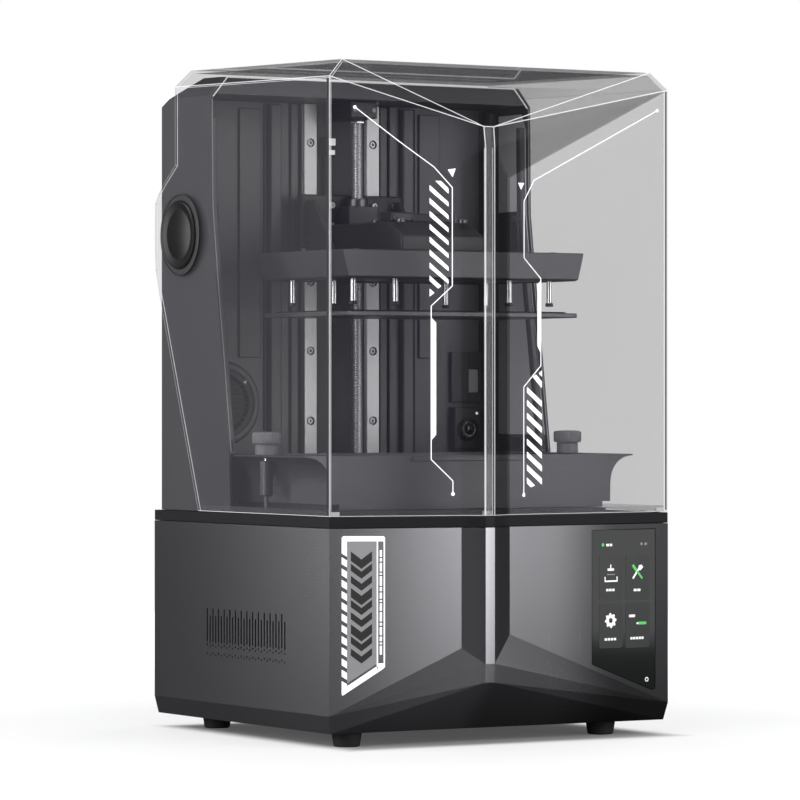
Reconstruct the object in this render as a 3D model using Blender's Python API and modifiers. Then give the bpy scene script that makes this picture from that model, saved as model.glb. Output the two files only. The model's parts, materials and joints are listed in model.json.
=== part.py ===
"""Resin printer: faceted metal base, tinted flip-up lid, rear column with a
twin-rail screw axis, levelling build platform, tilting vat and screen bed.

Lengths below are in millimetres. X runs across, Y runs from the front corner
line (0) towards the rear, Z is up from the feet. P() turns them into metres
about the bottom centre of the whole object; the front faces -Y.
"""
import math

import bpy
import bmesh
from mathutils import Matrix, Vector

# ------------------------------------------------------------ driving sizes
HW = 162.06          # half width of base and lid
DEP = 295.3          # depth of the base behind the front corners
PROW = 33.0          # how far the front ridge stands out
Y_MID = (DEP - PROW) / 2.0   # plan centre, becomes Y = 0

FOOT_H = 12.2
BASE_Z0 = 12.5       # underside of the base body
CHAM_Z = 25.6        # top of the lower side chamfer
BASE_Z1 = 174.0      # top of the base body
DECK_Z0, DECK_Z1 = 174.3, 183.0
LID_Z0 = 183.6
WALL = 2.8           # sheet of the base body
LID_T = 2.5          # lid wall

# front plan of base and lid: left panel, left facet, strip, right facet
RIDGE = [(-52.7, -22.0), (-36.7, -33.0), (-28.1, -33.0), (-6.74, -21.6)]

LID_CORNER_Z = 532.5     # lower chamfer edge at the front corners
LID_TOP_F = 546.8        # top at the front
LID_SLOPE = 6.5 / 254.0  # the top rises towards the rear
LID_CHX = 14.5           # side chamfer, across
LID_TOP_Y0 = 5.0
LID_REAR_Y = 258.8

PIVOT_Y, PIVOT_Z = 249.2, 414.5

COL_X = 158.0
COL_IN = 155.6
COL_BACK = 272.0
COL_REAR = 290.0

RAIL_X = 31.0
RAIL_Y = 257.8
SCREW_Y = 232.0
SCREW_R = 4.8

PLAT_Y = 127.0       # centre of the platform, fore and aft
TILT_Y, TILT_Z = 216.0, 181.5
KNOB_X, KNOB_Y = 146.8, 128.7


def P(x, y, z):
    return Vector((x * 0.001, (y - Y_MID) * 0.001, z * 0.001))


# ------------------------------------------------------------ clean start
for ob in list(bpy.data.objects):
    bpy.data.objects.remove(ob, do_unlink=True)
for me in list(bpy.data.meshes):
    bpy.data.meshes.remove(me)

SC = bpy.context.scene
PARTS = bpy.data.collections.new("printer_parts")
TOOLS = bpy.data.collections.new("cutters")
SC.collection.children.link(PARTS)
SC.collection.children.link(TOOLS)


# ------------------------------------------------------------ materials
def material(name, rgb, metal, rough, alpha=1.0):
    m = bpy.data.materials.new(name)
    m.use_nodes = True
    b = m.node_tree.nodes["Principled BSDF"]
    b.inputs["Base Color"].default_value = (rgb[0], rgb[1], rgb[2], 1.0)
    b.inputs["Metallic"].default_value = metal
    b.inputs["Roughness"].default_value = rough
    b.inputs["Alpha"].default_value = alpha
    return m


MATS = {
    "case_grey": material("case_grey", (0.16, 0.16, 0.165), 0.7, 0.42),
    "dark_trim": material("dark_trim", (0.06, 0.06, 0.065), 0.4, 0.45),
    "smoke_lid": material("smoke_lid", (0.12, 0.12, 0.125), 0.0, 0.08, 0.4),
    "black_plastic": material("black_plastic", (0.03, 0.03, 0.032), 0.0, 0.5),
    "steel": material("steel", (0.72, 0.72, 0.73), 1.0, 0.28),
    "aluminium": material("aluminium", (0.55, 0.56, 0.57), 1.0, 0.4),
    "rubber": material("rubber", (0.03, 0.03, 0.03), 0.0, 0.8),
    "screen": material("screen", (0.02, 0.025, 0.03), 0.0, 0.1),
    "circuit": material("circuit", (0.03, 0.18, 0.08), 0.0, 0.6),
    "clear_glass": material("clear_glass", (0.7, 0.75, 0.78), 0.0, 0.05, 0.4),
    "film": material("film", (0.8, 0.82, 0.85), 0.0, 0.1, 0.3),
    "lamp": material("lamp", (0.95, 0.95, 0.92), 0.0, 0.4),
    "vat_metal": material("vat_metal", (0.42, 0.43, 0.44), 1.0, 0.4),
    "motor_black": material("motor_black", (0.03, 0.03, 0.03), 0.6, 0.45),
}

AXES = {}


def axis_empty(name, x, y, z):
    e = bpy.data.objects.new("axis_" + name, None)
    e.empty_display_size = 0.02
    e.location = P(x, y, z)
    PARTS.objects.link(e)
    AXES[name] = e
    return e


def place(name, bm, slot, axis=None, at=None):
    """Link a mesh given in world metres. Its origin goes to `at` (mm), to the
    joint axis it turns on, or to the middle of its own box."""
    bmesh.ops.recalc_face_normals(bm, faces=bm.faces)
    if axis:
        origin = Vector(AXES[axis].location)
    elif at:
        origin = P(*at)
    else:
        lo = [min(v.co[i] for v in bm.verts) for i in range(3)]
        hi = [max(v.co[i] for v in bm.verts) for i in range(3)]
        origin = (Vector(lo) + Vector(hi)) / 2
    bmesh.ops.translate(bm, verts=bm.verts, vec=-origin)
    me = bpy.data.meshes.new(name)
    bm.to_mesh(me)
    bm.free()
    return link(name, me, slot, origin, axis)


def link(name, me, slot, origin, axis=None):
    ob = bpy.data.objects.new(name, me)
    if slot is None:
        ob.hide_render = True
        ob.display_type = "WIRE"
        ob.location = origin
        TOOLS.objects.link(ob)
        return ob
    me.materials.append(MATS[slot])
    PARTS.objects.link(ob)
    if axis:
        ob.parent = AXES[axis]
        ob.location = origin - Vector(AXES[axis].location)
    else:
        ob.location = origin
    return ob


def mesh_of(points, faces):
    bm = bmesh.new()
    vs = [bm.verts.new(P(*p)) for p in points]
    for f in faces:
        bm.faces.new([vs[i] for i in f])
    return bm


def box_bm(x0, x1, y0, y1, z0, z1):
    bm = bmesh.new()
    bmesh.ops.create_cube(bm, size=1.0)
    lo, hi = P(x0, y0, z0), P(x1, y1, z1)
    bmesh.ops.scale(bm, vec=hi - lo, verts=bm.verts)
    bmesh.ops.translate(bm, vec=(lo + hi) / 2, verts=bm.verts)
    return bm


def box(name, slot, x0, x1, y0, y1, z0, z1, axis=None):
    return place(name, box_bm(x0, x1, y0, y1, z0, z1), slot, axis)


def prism_bm(pts, along, c0, c1):
    """Flat outline drawn in the two other axes, extruded from c0 to c1."""
    def full(a, b, c):
        return {"Z": (a, b, c), "X": (c, a, b), "Y": (a, c, b)}[along]
    bm = bmesh.new()
    face = bm.faces.new([bm.verts.new(P(*full(a, b, c0))) for a, b in pts])
    out = bmesh.ops.extrude_face_region(bm, geom=[face])
    moved = [g for g in out["geom"] if isinstance(g, bmesh.types.BMVert)]
    bmesh.ops.translate(bm, verts=moved, vec=P(*full(0, 0, c1)) - P(*full(0, 0, c0)))
    return bm


def prism(name, slot, pts, along, c0, c1, axis=None):
    return place(name, prism_bm(pts, along, c0, c1), slot, axis)


def lathe(name, slot, cx, cy, cz, profile, along="Z", seg=28, axis=None):
    """Turned piece: profile of (radius, distance along the axis) and a Screw
    modifier about that axis, wound so that the outer side runs down."""
    area = sum(r0 * h1 - r1 * h0 for (r0, h0), (r1, h1) in zip(profile, profile[1:] + profile[:1]))
    prof = profile if area < 0 else profile[::-1]
    me = bpy.data.meshes.new(name)
    co = [{"Z": (r, 0, h), "X": (h, r, 0), "Y": (0, h, r)}[along] for r, h in prof]
    me.from_pydata([tuple(c * 0.001 for c in p) for p in co], [(i, i + 1) for i in range(len(co) - 1)], [])
    ob = link(name, me, slot, P(cx, cy, cz), axis)
    m = ob.modifiers.new("turn", "SCREW")
    m.axis = along
    m.angle = 2 * math.pi
    m.steps = m.render_steps = seg
    m.use_merge_vertices = True
    m.merge_threshold = 0.00001
    m.use_smooth_shade = False
    return ob


def rod(name, slot, cx, cy, cz, r, h, along="Z", seg=24, axis=None):
    bm = bmesh.new()
    bmesh.ops.create_cone(bm, cap_ends=True, segments=seg, radius1=r * 0.001, radius2=r * 0.001, depth=abs(h) * 0.001)
    turn = {"Z": None, "X": ((0, 1, 0), (0, 0, 0)), "Y": ((1, 0, 0), (0, 0, 0))}[along]
    if turn:
        bmesh.ops.rotate(bm, verts=bm.verts, cent=(0, 0, 0), matrix=Matrix.Rotation(math.pi / 2, 3, Vector(turn[0])))
    half = {"Z": (cx, cy, cz + h / 2), "X": (cx + h / 2, cy, cz), "Y": (cx, cy + h / 2, cz)}[along]
    bmesh.ops.translate(bm, verts=bm.verts, vec=P(*half))
    return place(name, bm, slot, axis)


def boolean(ob, cutter, op="DIFFERENCE"):
    m = ob.modifiers.new(op.lower() + "_" + cutter.name, "BOOLEAN")
    m.operation = op
    m.solver = "EXACT"
    m.object = cutter
    return m


def cut_box(ob, tag, x0, x1, y0, y1, z0, z1):
    c = box("cut_" + tag, None, x0, x1, y0, y1, z0, z1)
    boolean(ob, c)
    return c


def cut_rod(ob, tag, cx, cy, cz, r, h, along="Z", seg=24):
    c = rod("cut_" + tag, None, cx, cy, cz, r, h, along, seg)
    boolean(ob, c)
    return c


def outline(hw=HW, dep=DEP, ridge=RIDGE, y0=0.0):
    return [(-hw, dep), (-hw, y0)] + list(ridge) + [(hw, y0), (hw, dep)]


def on_panel(x):
    """Y on the right-hand front panel at X."""
    (xa, ya), (xb, yb) = RIDGE[3], (HW, 0.0)
    return ya + (yb - ya) * (x - xa) / (xb - xa)


# ============================================================ base body
LFZ, STRIP_Z, RFZ = 77.5, 65.1, 87.5     # lower facet heights at the ridge
UNDER_Z = 50.0
C, D, E, F = RIDGE
pts = [
    (-154.0, 8.0, BASE_Z0), (154.0, 8.0, BASE_Z0), (154.0, 288.0, BASE_Z0), (-154.0, 288.0, BASE_Z0),  # 0-3
    (-HW, 0, CHAM_Z), (HW, 0, CHAM_Z), (HW, DEP, CHAM_Z), (-HW, DEP, CHAM_Z),                          # 4-7
    (D[0], D[1] + 1.2, UNDER_Z), (E[0], E[1] + 1.2, UNDER_Z),                                          # 8-9
    (D[0], D[1], STRIP_Z), (E[0], E[1], STRIP_Z),                                                      # 10-11
    (C[0], C[1], LFZ), (F[0], F[1], RFZ),                                                              # 12-13
]
top = [(x, y, BASE_Z1) for x, y in outline()]                                                          # 14-21
pts += top
A1, B1, C1, D1, E1, F1, G1, H1 = range(14, 22)
faces = [
    (0, 3, 2, 1), (7, 4, 0, 3), (5, 6, 2, 1), (6, 7, 3, 2),
    (0, 1, 9, 8), (4, 0, 8), (4, 8, 10), (8, 9, 11, 10), (5, 11, 9), (5, 9, 1),
    (4, 10, 12), (5, 13, 11),
    (4, 12, C1, B1), (12, 10, D1, C1), (10, 11, E1, D1), (11, 13, F1, E1), (13, 5, G1, F1),
    (7, 4, B1, A1), (5, 6, H1, G1), (6, 7, A1, H1),
    (A1, B1, C1, D1, E1, F1, G1, H1),
]
base = place("base_shell", mesh_of(pts, faces), "case_grey")

cav = [(150.8, 11.3, 284.7, 11.0), (150.8, 11.3, 284.7, 16.0), (HW - WALL, 2.9, DEP - WALL, 28.5), (HW - WALL, 2.9, DEP - WALL, 190.0)]
cp, cf = [], []
for hx, ya, yb, z in cav:
    cp += [(-hx, ya, z), (hx, ya, z), (hx, yb, z), (-hx, yb, z)]
for k in range(3):
    for i in range(4):
        j = (i + 1) % 4
        cf.append((4 * k + i, 4 * k + j, 4 * k + 4 + j, 4 * k + 4 + i))
cf += [(0, 1, 2, 3), (12, 13, 14, 15)]
boolean(base, place("cut_base_cavity", mesh_of(cp, cf), None))
inner_ridge = [(-150, 4.0), (-150, 3.2), (-51.8, -18.6), (-36.0, -29.8), (-28.8, -29.8), (-7.2, -18.2), (150, 3.2), (150, 4.0)]
boolean(base, prism("cut_ridge_cavity", None, inner_ridge, "Z", 93.0, 190.0))

# touch screen window in the right-hand front panel
SCR = [(79.6, 169.7), (148.4, 170.0), (148.4, 37.4), (143.9, 36.7), (79.6, 59.9)]


def panel_slab(poly, d0, d1):
    """Prism through the right front panel; d is the distance out of it."""
    (xa, ya), (xb, yb) = RIDGE[3], (HW, 0.0)
    L = math.hypot(xb - xa, yb - ya)
    nx, ny = (yb - ya) / L, -(xb - xa) / L
    bm = bmesh.new()
    face = bm.faces.new([bm.verts.new(P(x + nx * d0, on_panel(x) + ny * d0, z)) for x, z in poly])
    out = bmesh.ops.extrude_face_region(bm, geom=[face])
    moved = [g for g in out["geom"] if isinstance(g, bmesh.types.BMVert)]
    step = (d1 - d0) * 0.001
    bmesh.ops.translate(bm, verts=moved, vec=(nx * step, ny * step, 0.0))
    return bm


def shrink(poly, d):
    """Offset a convex outline inwards by d."""
    area = sum(a[0] * b[1] - b[0] * a[1] for a, b in zip(poly, poly[1:] + poly[:1]))
    s = 1.0 if area > 0 else -1.0
    out = []
    n = len(poly)
    for i in range(n):
        p0, p1, p2 = Vector(poly[i - 1]), Vector(poly[i]), Vector(poly[(i + 1) % n])
        e0, e1 = (p1 - p0).normalized(), (p2 - p1).normalized()
        n0 = Vector((-e0.y, e0.x)) * s
        n1 = Vector((-e1.y, e1.x)) * s
        k = (n0 + n1) / (1.0 + n0.dot(n1))
        out.append(tuple(p1 + k * d))
    return out


boolean(base, place("cut_screen_window", panel_slab(SCR, -7.0, 5.0), None))
place("screen_glass", panel_slab(shrink(SCR, 0.3), -2.6, -0.1), "screen")

# side vents: rows of upright slots on both sides
slots = box_bm(-170, 170, 75.2, 77.2, 76.0, 103.5)
vent = place("cut_vent_slots", slots, None)
arr = vent.modifiers.new("row", "ARRAY")
arr.count = 14
arr.use_relative_offset = False
arr.use_constant_offset = True
arr.constant_offset_displace = (0.0, 0.00965, 0.0)
boolean(base, vent)

# rear openings: fan, mains inlet, switch; side opening for the stick port
FANX, FANZ = 88.0, 110.0
cut_rod(base, "fan_hole", FANX, 288.0, FANZ, 26.0, 12.0, "Y", 32)
cut_box(base, "inlet_hole", -129.3, -99.7, 288.0, 300.0, 40.7, 63.3)
cut_box(base, "switch_hole", -87.3, -72.7, 288.0, 300.0, 41.7, 62.3)
cut_box(base, "stick_hole", 155.0, 170.0, 33.7, 40.3, 131.7, 146.3)

box("bottom_plate", "dark_trim", -150.5, 150.5, 11.6, 284.4, 12.8, 15.0)

for tag, x, y in (("front_left", -135.7, 17.8), ("front_right", 110.6, 23.6), ("rear_left", -127.3, 248.4), ("rear_right", 127.3, 248.4)):
    lathe("foot_" + tag, "rubber", x, y, 0, [(0, 0), (10.0, 0), (10.8, 0.8), (12.4, FOOT_H), (0, FOOT_H)], seg=24)

# deck with the bed opening, ear pockets and the screw passage
deck = prism("deck_plate", "dark_trim", outline(), "Z", DECK_Z0, DECK_Z1)
cut_box(deck, "bed_opening", -128.3, 128.3, 38.5, 221.5, 170.0, 190.0)
cut_box(deck, "ear_pocket_left", -157.0, -120.0, 108.0, 149.0, 176.5, 190.0)
cut_box(deck, "ear_pocket_right", 120.0, 157.0, 108.0, 149.0, 176.5, 190.0)
cut_rod(deck, "screw_passage", 0, SCREW_Y, 170.0, 7.0, 20.0)

# ============================================================ inside the base
box("mainboard", "circuit", -146, -24, 262.0, 266.0, 74, 160)
box("power_supply", "aluminium", -60, 60, 212, 260, 18, 58)
hood = [(-98, 52), (-98, 60), (-106, 172), (106, 172), (98, 60), (98, 52)]
housing = prism("light_engine_housing", "dark_trim", hood, "Y", 66, 190)
hollow = [(-94, 64), (-102, 176), (102, 176), (94, 64)]
boolean(housing, prism("cut_hood", None, hollow, "Y", 70, 186))
box("light_engine_lens", "clear_glass", -100.2, 100.2, 70.3, 185.7, 160, 164)
z_motor = box("z_motor", "motor_black", -21, 21, SCREW_Y - 21, SCREW_Y + 21, 128, 170.4)
cut_rod(z_motor, "z_motor_mouth", 0, SCREW_Y, 160.0, 5.1, 20.0)
tilt_motor = box("tilt_motor", "motor_black", -17.5, 17.5, 28.5, 60.5, 92, 128)
cut_rod(tilt_motor, "tilt_motor_mouth", 0, 46.0, 104.0, 3.8, 30.0)

fan = box("fan_frame", "black_plastic", FANX - 30, FANX + 30, 277.0, 292.2, FANZ - 30, FANZ + 30)
cut_rod(fan, "fan_bore", FANX, 270.0, FANZ, 27.0, 30.0, "Y", 32)
axis_empty("fan_spin", FANX, 284.0, FANZ)
blades = []
for k in range(7):
    a = 2 * math.pi * k / 7
    for da, r in ((-0.26, 10.5), (-0.2, 25.5), (0.12, 25.5), (0.26, 10.5)):
        blades.append((FANX + r * math.cos(a + da), FANZ + r * math.sin(a + da)))
prism("fan_rotor", "black_plastic", blades, "Y", 280.0, 289.0, axis="fan_spin")

inlet = box("power_inlet", "black_plastic", -129, -100, 270.0, 295.2, 41, 63)
cut_box(inlet, "inlet_recess", -126, -103, 280.0, 300.0, 44, 60)
axis_empty("switch_rock", -80.0, 290.5, 52.0)
prism("power_switch", "black_plastic", [(284.0, 43.6), (293.6, 43.0), (292.2, 52.0), (293.6, 61.0), (284.0, 60.4)],
      "X", -86.4, -73.6, axis="switch_rock")
stick = box("usb_port", "steel", 148.0, 161.6, 34, 40, 132, 146)
cut_box(stick, "usb_recess", 152.0, 165.0, 34.7, 39.3, 133.2, 144.8)

# ============================================================ rear column
front_edge = [(170, 183.3), (172, 231), (184, 310), (194, 371), (203.5, 437), (205, 545.0)]
side = front_edge + [(238, 545.8), (266, 534.6), (COL_REAR, 524.0), (COL_REAR, 183.3)]
column = prism("column_shell", "dark_trim", side, "X", -COL_X, COL_X)
cut_box(column, "column_bay", -COL_IN, COL_IN, 150.0, COL_BACK, 170.0, 530.5)
cut_box(column, "column_duct", -152.0, 152.0, COL_BACK + 2.5, COL_REAR - 2.5, 170.0, 516.0)
for sgn, tag in ((-1, "left"), (1, "right")):
    tri = [(sgn * 170, 514), (sgn * 170, 556), (sgn * 138, 556)]
    boolean(column, prism("cut_column_bevel_" + tag, None, tri, "Y", 160, 300))
cut_rod(column, "hinge_left", -170, PIVOT_Y, PIVOT_Z, 7.3, 30, "X")
cut_rod(column, "hinge_right", 140, PIVOT_Y, PIVOT_Z, 7.3, 30, "X")

box("z_backbone", "aluminium", -48, 48, 266.1, COL_BACK - 0.3, 188, 530)
box("fascia_left", "dark_trim", -COL_IN + 0.4, -50, 262, COL_BACK - 0.3, 187, 530)
box("fascia_right", "dark_trim", 50, COL_IN - 0.4, 262, COL_BACK - 0.3, 187, 530)
for tag, sgn in (("left", -1), ("right", 1)):
    x = sgn * RAIL_X
    prof = [(x - 6, RAIL_Y), (x + 6, RAIL_Y), (x + 6, 260.2), (x + 4.6, 261.6), (x + 6, 263.0), (x + 6, 265.8),
            (x - 6, 265.8), (x - 6, 263.0), (x - 4.6, 261.6), (x - 6, 260.2)]
    prism("rail_" + tag, "steel", prof, "Z", 189, 529)
bearing = box("screw_top_bearing", "black_plastic", -13, 13, 220, 265.8, 516, 530)
cut_rod(bearing, "bearing_bore", 0, SCREW_Y, 512, 5.1, 14.0)
box("endstop_sensor", "black_plastic", -17, -8, 254, 265.8, 484, 502)

lathe("filter_cover", "black_plastic", -117, 261.7, 273, [(0, 0), (36.5, 0), (36.5, -3.0), (34.0, -5.2), (25, -5.2), (22, -3.4), (0, -3.4)], "Y", 36)
box("camera_housing", "black_plastic", 111, 137, 252.5, 261.7, 232.5, 270)
lathe("camera_lens", "clear_glass", 123.5, 252.2, 250.5, [(0, 0), (9.5, 0), (9.5, -4.0), (7.5, -5.0), (0, -3.2)], "Y", 24)
box("light_bar", "lamp", 128.5, 138.5, 259.0, 261.7, 282.5, 302.8)

# lid pivots held in the column cheeks
for tag, sgn in (("left", -1), ("right", 1)):
    lathe("hinge_pin_" + tag, "steel", sgn * 151.0, PIVOT_Y, PIVOT_Z, [(0, 0), (10.0, 0), (10.0, sgn * 4.2), (6.6, sgn * 4.2), (6.6, sgn * 10.8), (0, sgn * 10.8)], "X", 24)

# ============================================================ screw and carriage
axis_empty("screw_spin", 0, SCREW_Y, 350)
lathe("ball_screw", "steel", 0, SCREW_Y, 0, [(0, 160.6), (SCREW_R, 160.6), (SCREW_R, 525.5), (0, 525.5)], seg=20, axis="screw_spin")

axis_empty("z_slide", 0, 250, 428)
box("carriage_plate", "aluminium", -50, 50, 240.2, 250.0, 405, 451, axis="z_slide")
for tag, sgn in (("left", -1), ("right", 1)):
    x = sgn * RAIL_X
    blk = box("rail_block_" + tag, "steel", x - 13.5, x + 13.5, 250.3, 263.2, 407, 449, axis="z_slide")
    c = box("cut_block_" + tag, None, x - 6.4, x + 6.4, 257.3, 270.0, 400, 455)
    boolean(blk, c)
nut = box("screw_nut", "aluminium", -14, 14, 221.5, 239.9, 417, 441, axis="z_slide")
cut_rod(nut, "nut_bore", 0, SCREW_Y, 410, 5.1, 40)
arm = prism("platform_arm", "black_plastic", [(92, 398.5), (92, 412), (118, 424), (239.9, 424), (239.9, 404), (205, 398.5)], "X", -40, 40, axis="z_slide")
cut_box(arm, "arm_slot", -14.6, 14.6, 214, 250, 390, 440)
block = prism("platform_block", "aluminium", [(-111, 376), (111, 376), (116.5, 398.2), (-116.5, 398.2)], "Y", PLAT_Y - 70, PLAT_Y + 70, axis="z_slide")
for i, px in enumerate((-95, -55, 55, 95)):
    for j, dy in enumerate((-50, 50)):
        rod("post_%d%s" % (i + 1, "ab"[j]), "steel", px, PLAT_Y + dy, 353.8, 2.3, 21.9, seg=12, axis="z_slide")

axis_empty("release_lever", -24, 128, 430)
lever = [(-34, 118), (-14, 118), (-10, 122), (-10, 134), (26, 140), (40, 138), (44, 142), (40, 147), (26, 148), (-14, 144), (-34, 138)]
prism("release_lever", "black_plastic", lever, "Z", 424.3, 432, axis="release_lever")

axis_empty("plate_float", 0, PLAT_Y, 349.5)
plate = box("build_plate", "aluminium", -111, 111, PLAT_Y - 68, PLAT_Y + 68, 344.4, 348.2, axis="plate_float")

# ============================================================ tilting bed and vat
axis_empty("bed_tilt", 0, TILT_Y, TILT_Z)
fx, ex = 127.0, 153.5
frame_plan = [(-fx, 40), (fx, 40), (fx, 113), (ex, 113), (ex, 144), (fx, 144), (fx, 220), (-fx, 220), (-fx, 144), (-ex, 144), (-ex, 113), (-fx, 113)]
bed = prism("tilt_frame", "dark_trim", frame_plan, "Z", 181.8, 186.7, axis="bed_tilt")
cut_box(bed, "lcd_opening", -110, 110, 65, 189, 170, 195)
box("lcd_panel", "screen", -109.6, 109.6, 65.4, 188.6, 182.4, 186.5, axis="bed_tilt")

VX = 157.4
vat_half = [(126.5, 187), (127, 191.8), (134.6, 191.8), (135.4, 207), (138, 217), (143.5, 224.5), (VX, 229.4), (VX, 231)]
vat_prof = vat_half + [(-x, z) for x, z in vat_half[::-1]]
vat = prism("vat_body", "vat_metal", vat_prof, "Y", 45, 213, axis="bed_tilt")
for tag, sgn in (("left", -1), ("right", 1)):
    x0, x1 = sorted((sgn * 153.6, sgn * 160.0))
    cut_box(vat, "lip_relief_" + tag, x0, x1, 165.0, 216.0, 180.0, 235.0)
for tag, sgn in (("left", -1), ("right", 1)):
    boolean(vat, rod("boss_" + tag, None, sgn * KNOB_X, KNOB_Y, 197.2, 5.6, 30.0), "UNION")
cut_box(vat, "vat_well", -119, 119, 52.5, 205.5, 180, 240)
for tag, sgn in (("left", -1), ("right", 1)):
    cut_rod(vat, "knob_bore_" + tag, sgn * KNOB_X, KNOB_Y, 190, 2.3, 50, seg=16)
box("release_film", "film", -118.7, 118.7, 52.8, 205.2, 187.3, 187.7, axis="bed_tilt")

for tag, sgn in (("left", -1), ("right", 1)):
    axis_empty("knob_" + tag, sgn * KNOB_X, KNOB_Y, 240)
    prof = [(0, 187.2), (1.9, 187.2), (1.9, 231.3), (9.2, 231.3), (9.2, 239.8), (11.5, 240.6), (11.8, 241.4), (11.8, 249.2), (11.0, 250.0), (0, 250.0)]
    lathe("vat_knob_" + tag, "black_plastic", sgn * KNOB_X, KNOB_Y, 0, prof, seg=28, axis="knob_" + tag)

axis_empty("tilt_push", 0, 46, 150)
rod("tilt_pusher", "steel", 0, 46, 112.0, 3.5, 69.5, seg=16, axis="tilt_push")

# ============================================================ lid
def zc(y):
    return LID_CORNER_Z + LID_SLOPE * y


def zt(y):
    return LID_TOP_F + LID_SLOPE * (y - LID_TOP_Y0)


tx = HW - LID_CHX
U = [(-37.2, -31.0, 494.7), (-27.9, -31.0, 494.7)]
LOWV = 477.4
rear_profile = [(258.7, 473.0), (281.2, 456.8), (288.6, 450.1), (294.6, 442.1), (296.2 - 1.2, 425.2),
                (296.2 - 1.2, 404.0), (293.6, 385.6), (289.1, 371.5), (217.9, LID_Z0)]
lp = []


def add(*p):
    lp.append(tuple(p))
    return len(lp) - 1


side_ids = {}
for s in (-1, 1):
    ids = [add(s * HW, 0, LID_Z0), add(s * HW, 0, zc(0)), add(s * HW, LID_REAR_Y, zc(LID_REAR_Y))]
    ids += [add(s * HW, y, z) for y, z in rear_profile]
    side_ids[s] = ids
tf = {s: add(s * tx, LID_TOP_Y0, zt(LID_TOP_Y0)) for s in (-1, 1)}
tr = {s: add(s * tx, LID_REAR_Y - 1.5, zt(LID_REAR_Y - 1.5)) for s in (-1, 1)}
cb, ct = add(C[0], C[1], LID_Z0), add(C[0], C[1], 464.3)
db, dt = add(D[0], D[1], LID_Z0), add(D[0], D[1], LOWV)
eb, et = add(E[0], E[1], LID_Z0), add(E[0], E[1], LOWV)
fb, ft = add(F[0], F[1], LID_Z0), add(F[0], F[1], 454.6)
u1, u2 = add(*U[0]), add(*U[1])
L, R = side_ids[-1], side_ids[1]
lf = [
    tuple(L), tuple(R),
    (L[1], tf[-1], tr[-1], L[2]), (R[1], R[2], tr[1], tf[1]),
    (tf[-1], tf[1], tr[1], tr[-1]),
    (tf[-1], u1, u2, tf[1]),
    (L[1], dt, u1), (L[1], u1, tf[-1]), (dt, et, u2, u1), (R[1], u2, et), (R[1], tf[1], u2),
    (L[1], ct, dt), (R[1], et, ft),
    (L[0], cb, ct, L[1]), (cb, db, dt, ct), (db, eb, et, dt), (eb, fb, ft, et), (fb, R[0], R[1], ft),
]
axis_empty("lid_hinge", 0, PIVOT_Y, PIVOT_Z)
lid = place("lid_shell", mesh_of(lp, lf), "smoke_lid", axis="lid_hinge")
sol = lid.modifiers.new("wall", "SOLIDIFY")
sol.thickness = LID_T * 0.001
sol.offset = -1.0
sol.use_even_offset = True
sol.use_rim = True
cut_rod(lid, "lid_eye_left", -170, PIVOT_Y, PIVOT_Z, 7.0, 20, "X")
cut_rod(lid, "lid_eye_right", 150, PIVOT_Y, PIVOT_Z, 7.0, 20, "X")

for tag, sgn in (("left", -1), ("right", 1)):
    prof = [(0, 0), (32.5, 0), (32.5, 0.7), (30.5, 1.5), (24.0, 1.5), (0, 0.9)]
    prof = [(r, sgn * h) for r, h in prof]
    lathe("hinge_cap_" + tag, "black_plastic", sgn * (HW + 0.3), PIVOT_Y, PIVOT_Z, prof, "X", 36, axis="lid_hinge")
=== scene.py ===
import json
import math

import bpy
import bmesh
from mathutils import Matrix, Vector

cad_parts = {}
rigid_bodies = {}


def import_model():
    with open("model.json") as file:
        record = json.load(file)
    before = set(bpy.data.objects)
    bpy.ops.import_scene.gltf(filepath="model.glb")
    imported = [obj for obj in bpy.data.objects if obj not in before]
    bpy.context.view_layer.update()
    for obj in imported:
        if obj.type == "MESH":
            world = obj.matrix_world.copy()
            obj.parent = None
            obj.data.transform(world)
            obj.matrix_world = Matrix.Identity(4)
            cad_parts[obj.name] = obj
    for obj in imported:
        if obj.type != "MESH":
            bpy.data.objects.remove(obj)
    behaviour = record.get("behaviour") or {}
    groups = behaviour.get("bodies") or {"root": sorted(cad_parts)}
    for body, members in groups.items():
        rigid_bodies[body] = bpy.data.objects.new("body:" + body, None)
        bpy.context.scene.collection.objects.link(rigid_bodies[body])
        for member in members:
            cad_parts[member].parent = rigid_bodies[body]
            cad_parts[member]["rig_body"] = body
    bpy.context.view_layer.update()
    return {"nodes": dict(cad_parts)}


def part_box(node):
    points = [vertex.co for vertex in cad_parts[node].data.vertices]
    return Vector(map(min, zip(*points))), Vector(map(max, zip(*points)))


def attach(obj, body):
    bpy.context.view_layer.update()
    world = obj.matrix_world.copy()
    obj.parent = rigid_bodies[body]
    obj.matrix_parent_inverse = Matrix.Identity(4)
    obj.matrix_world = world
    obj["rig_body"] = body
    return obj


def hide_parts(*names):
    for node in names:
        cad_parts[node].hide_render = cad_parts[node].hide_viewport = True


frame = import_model()
FLOOR_NEAR, WORLD_DIFFUSE, WORLD_GLOSSY = 0.61, 0.36, 0.085
NODES = frame["nodes"]
SCENE = bpy.context.scene

# Millimetres about the front corner line, as in the CAD source; P() gives metres.
HW, DEP, PROW = 162.06, 295.3, 33.0
Y_MID = (DEP - PROW) / 2.0
RIDGE = [(-52.7, -22.0), (-36.7, -33.0), (-28.1, -33.0), (-6.74, -21.6)]
PIVOT_Y, PIVOT_Z = 249.2, 414.5
SCREW_Y, PLAT_Y = 232.0, 127.0


def P(x, y, z):
    return Vector((x * 0.001, (y - Y_MID) * 0.001, z * 0.001))


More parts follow.
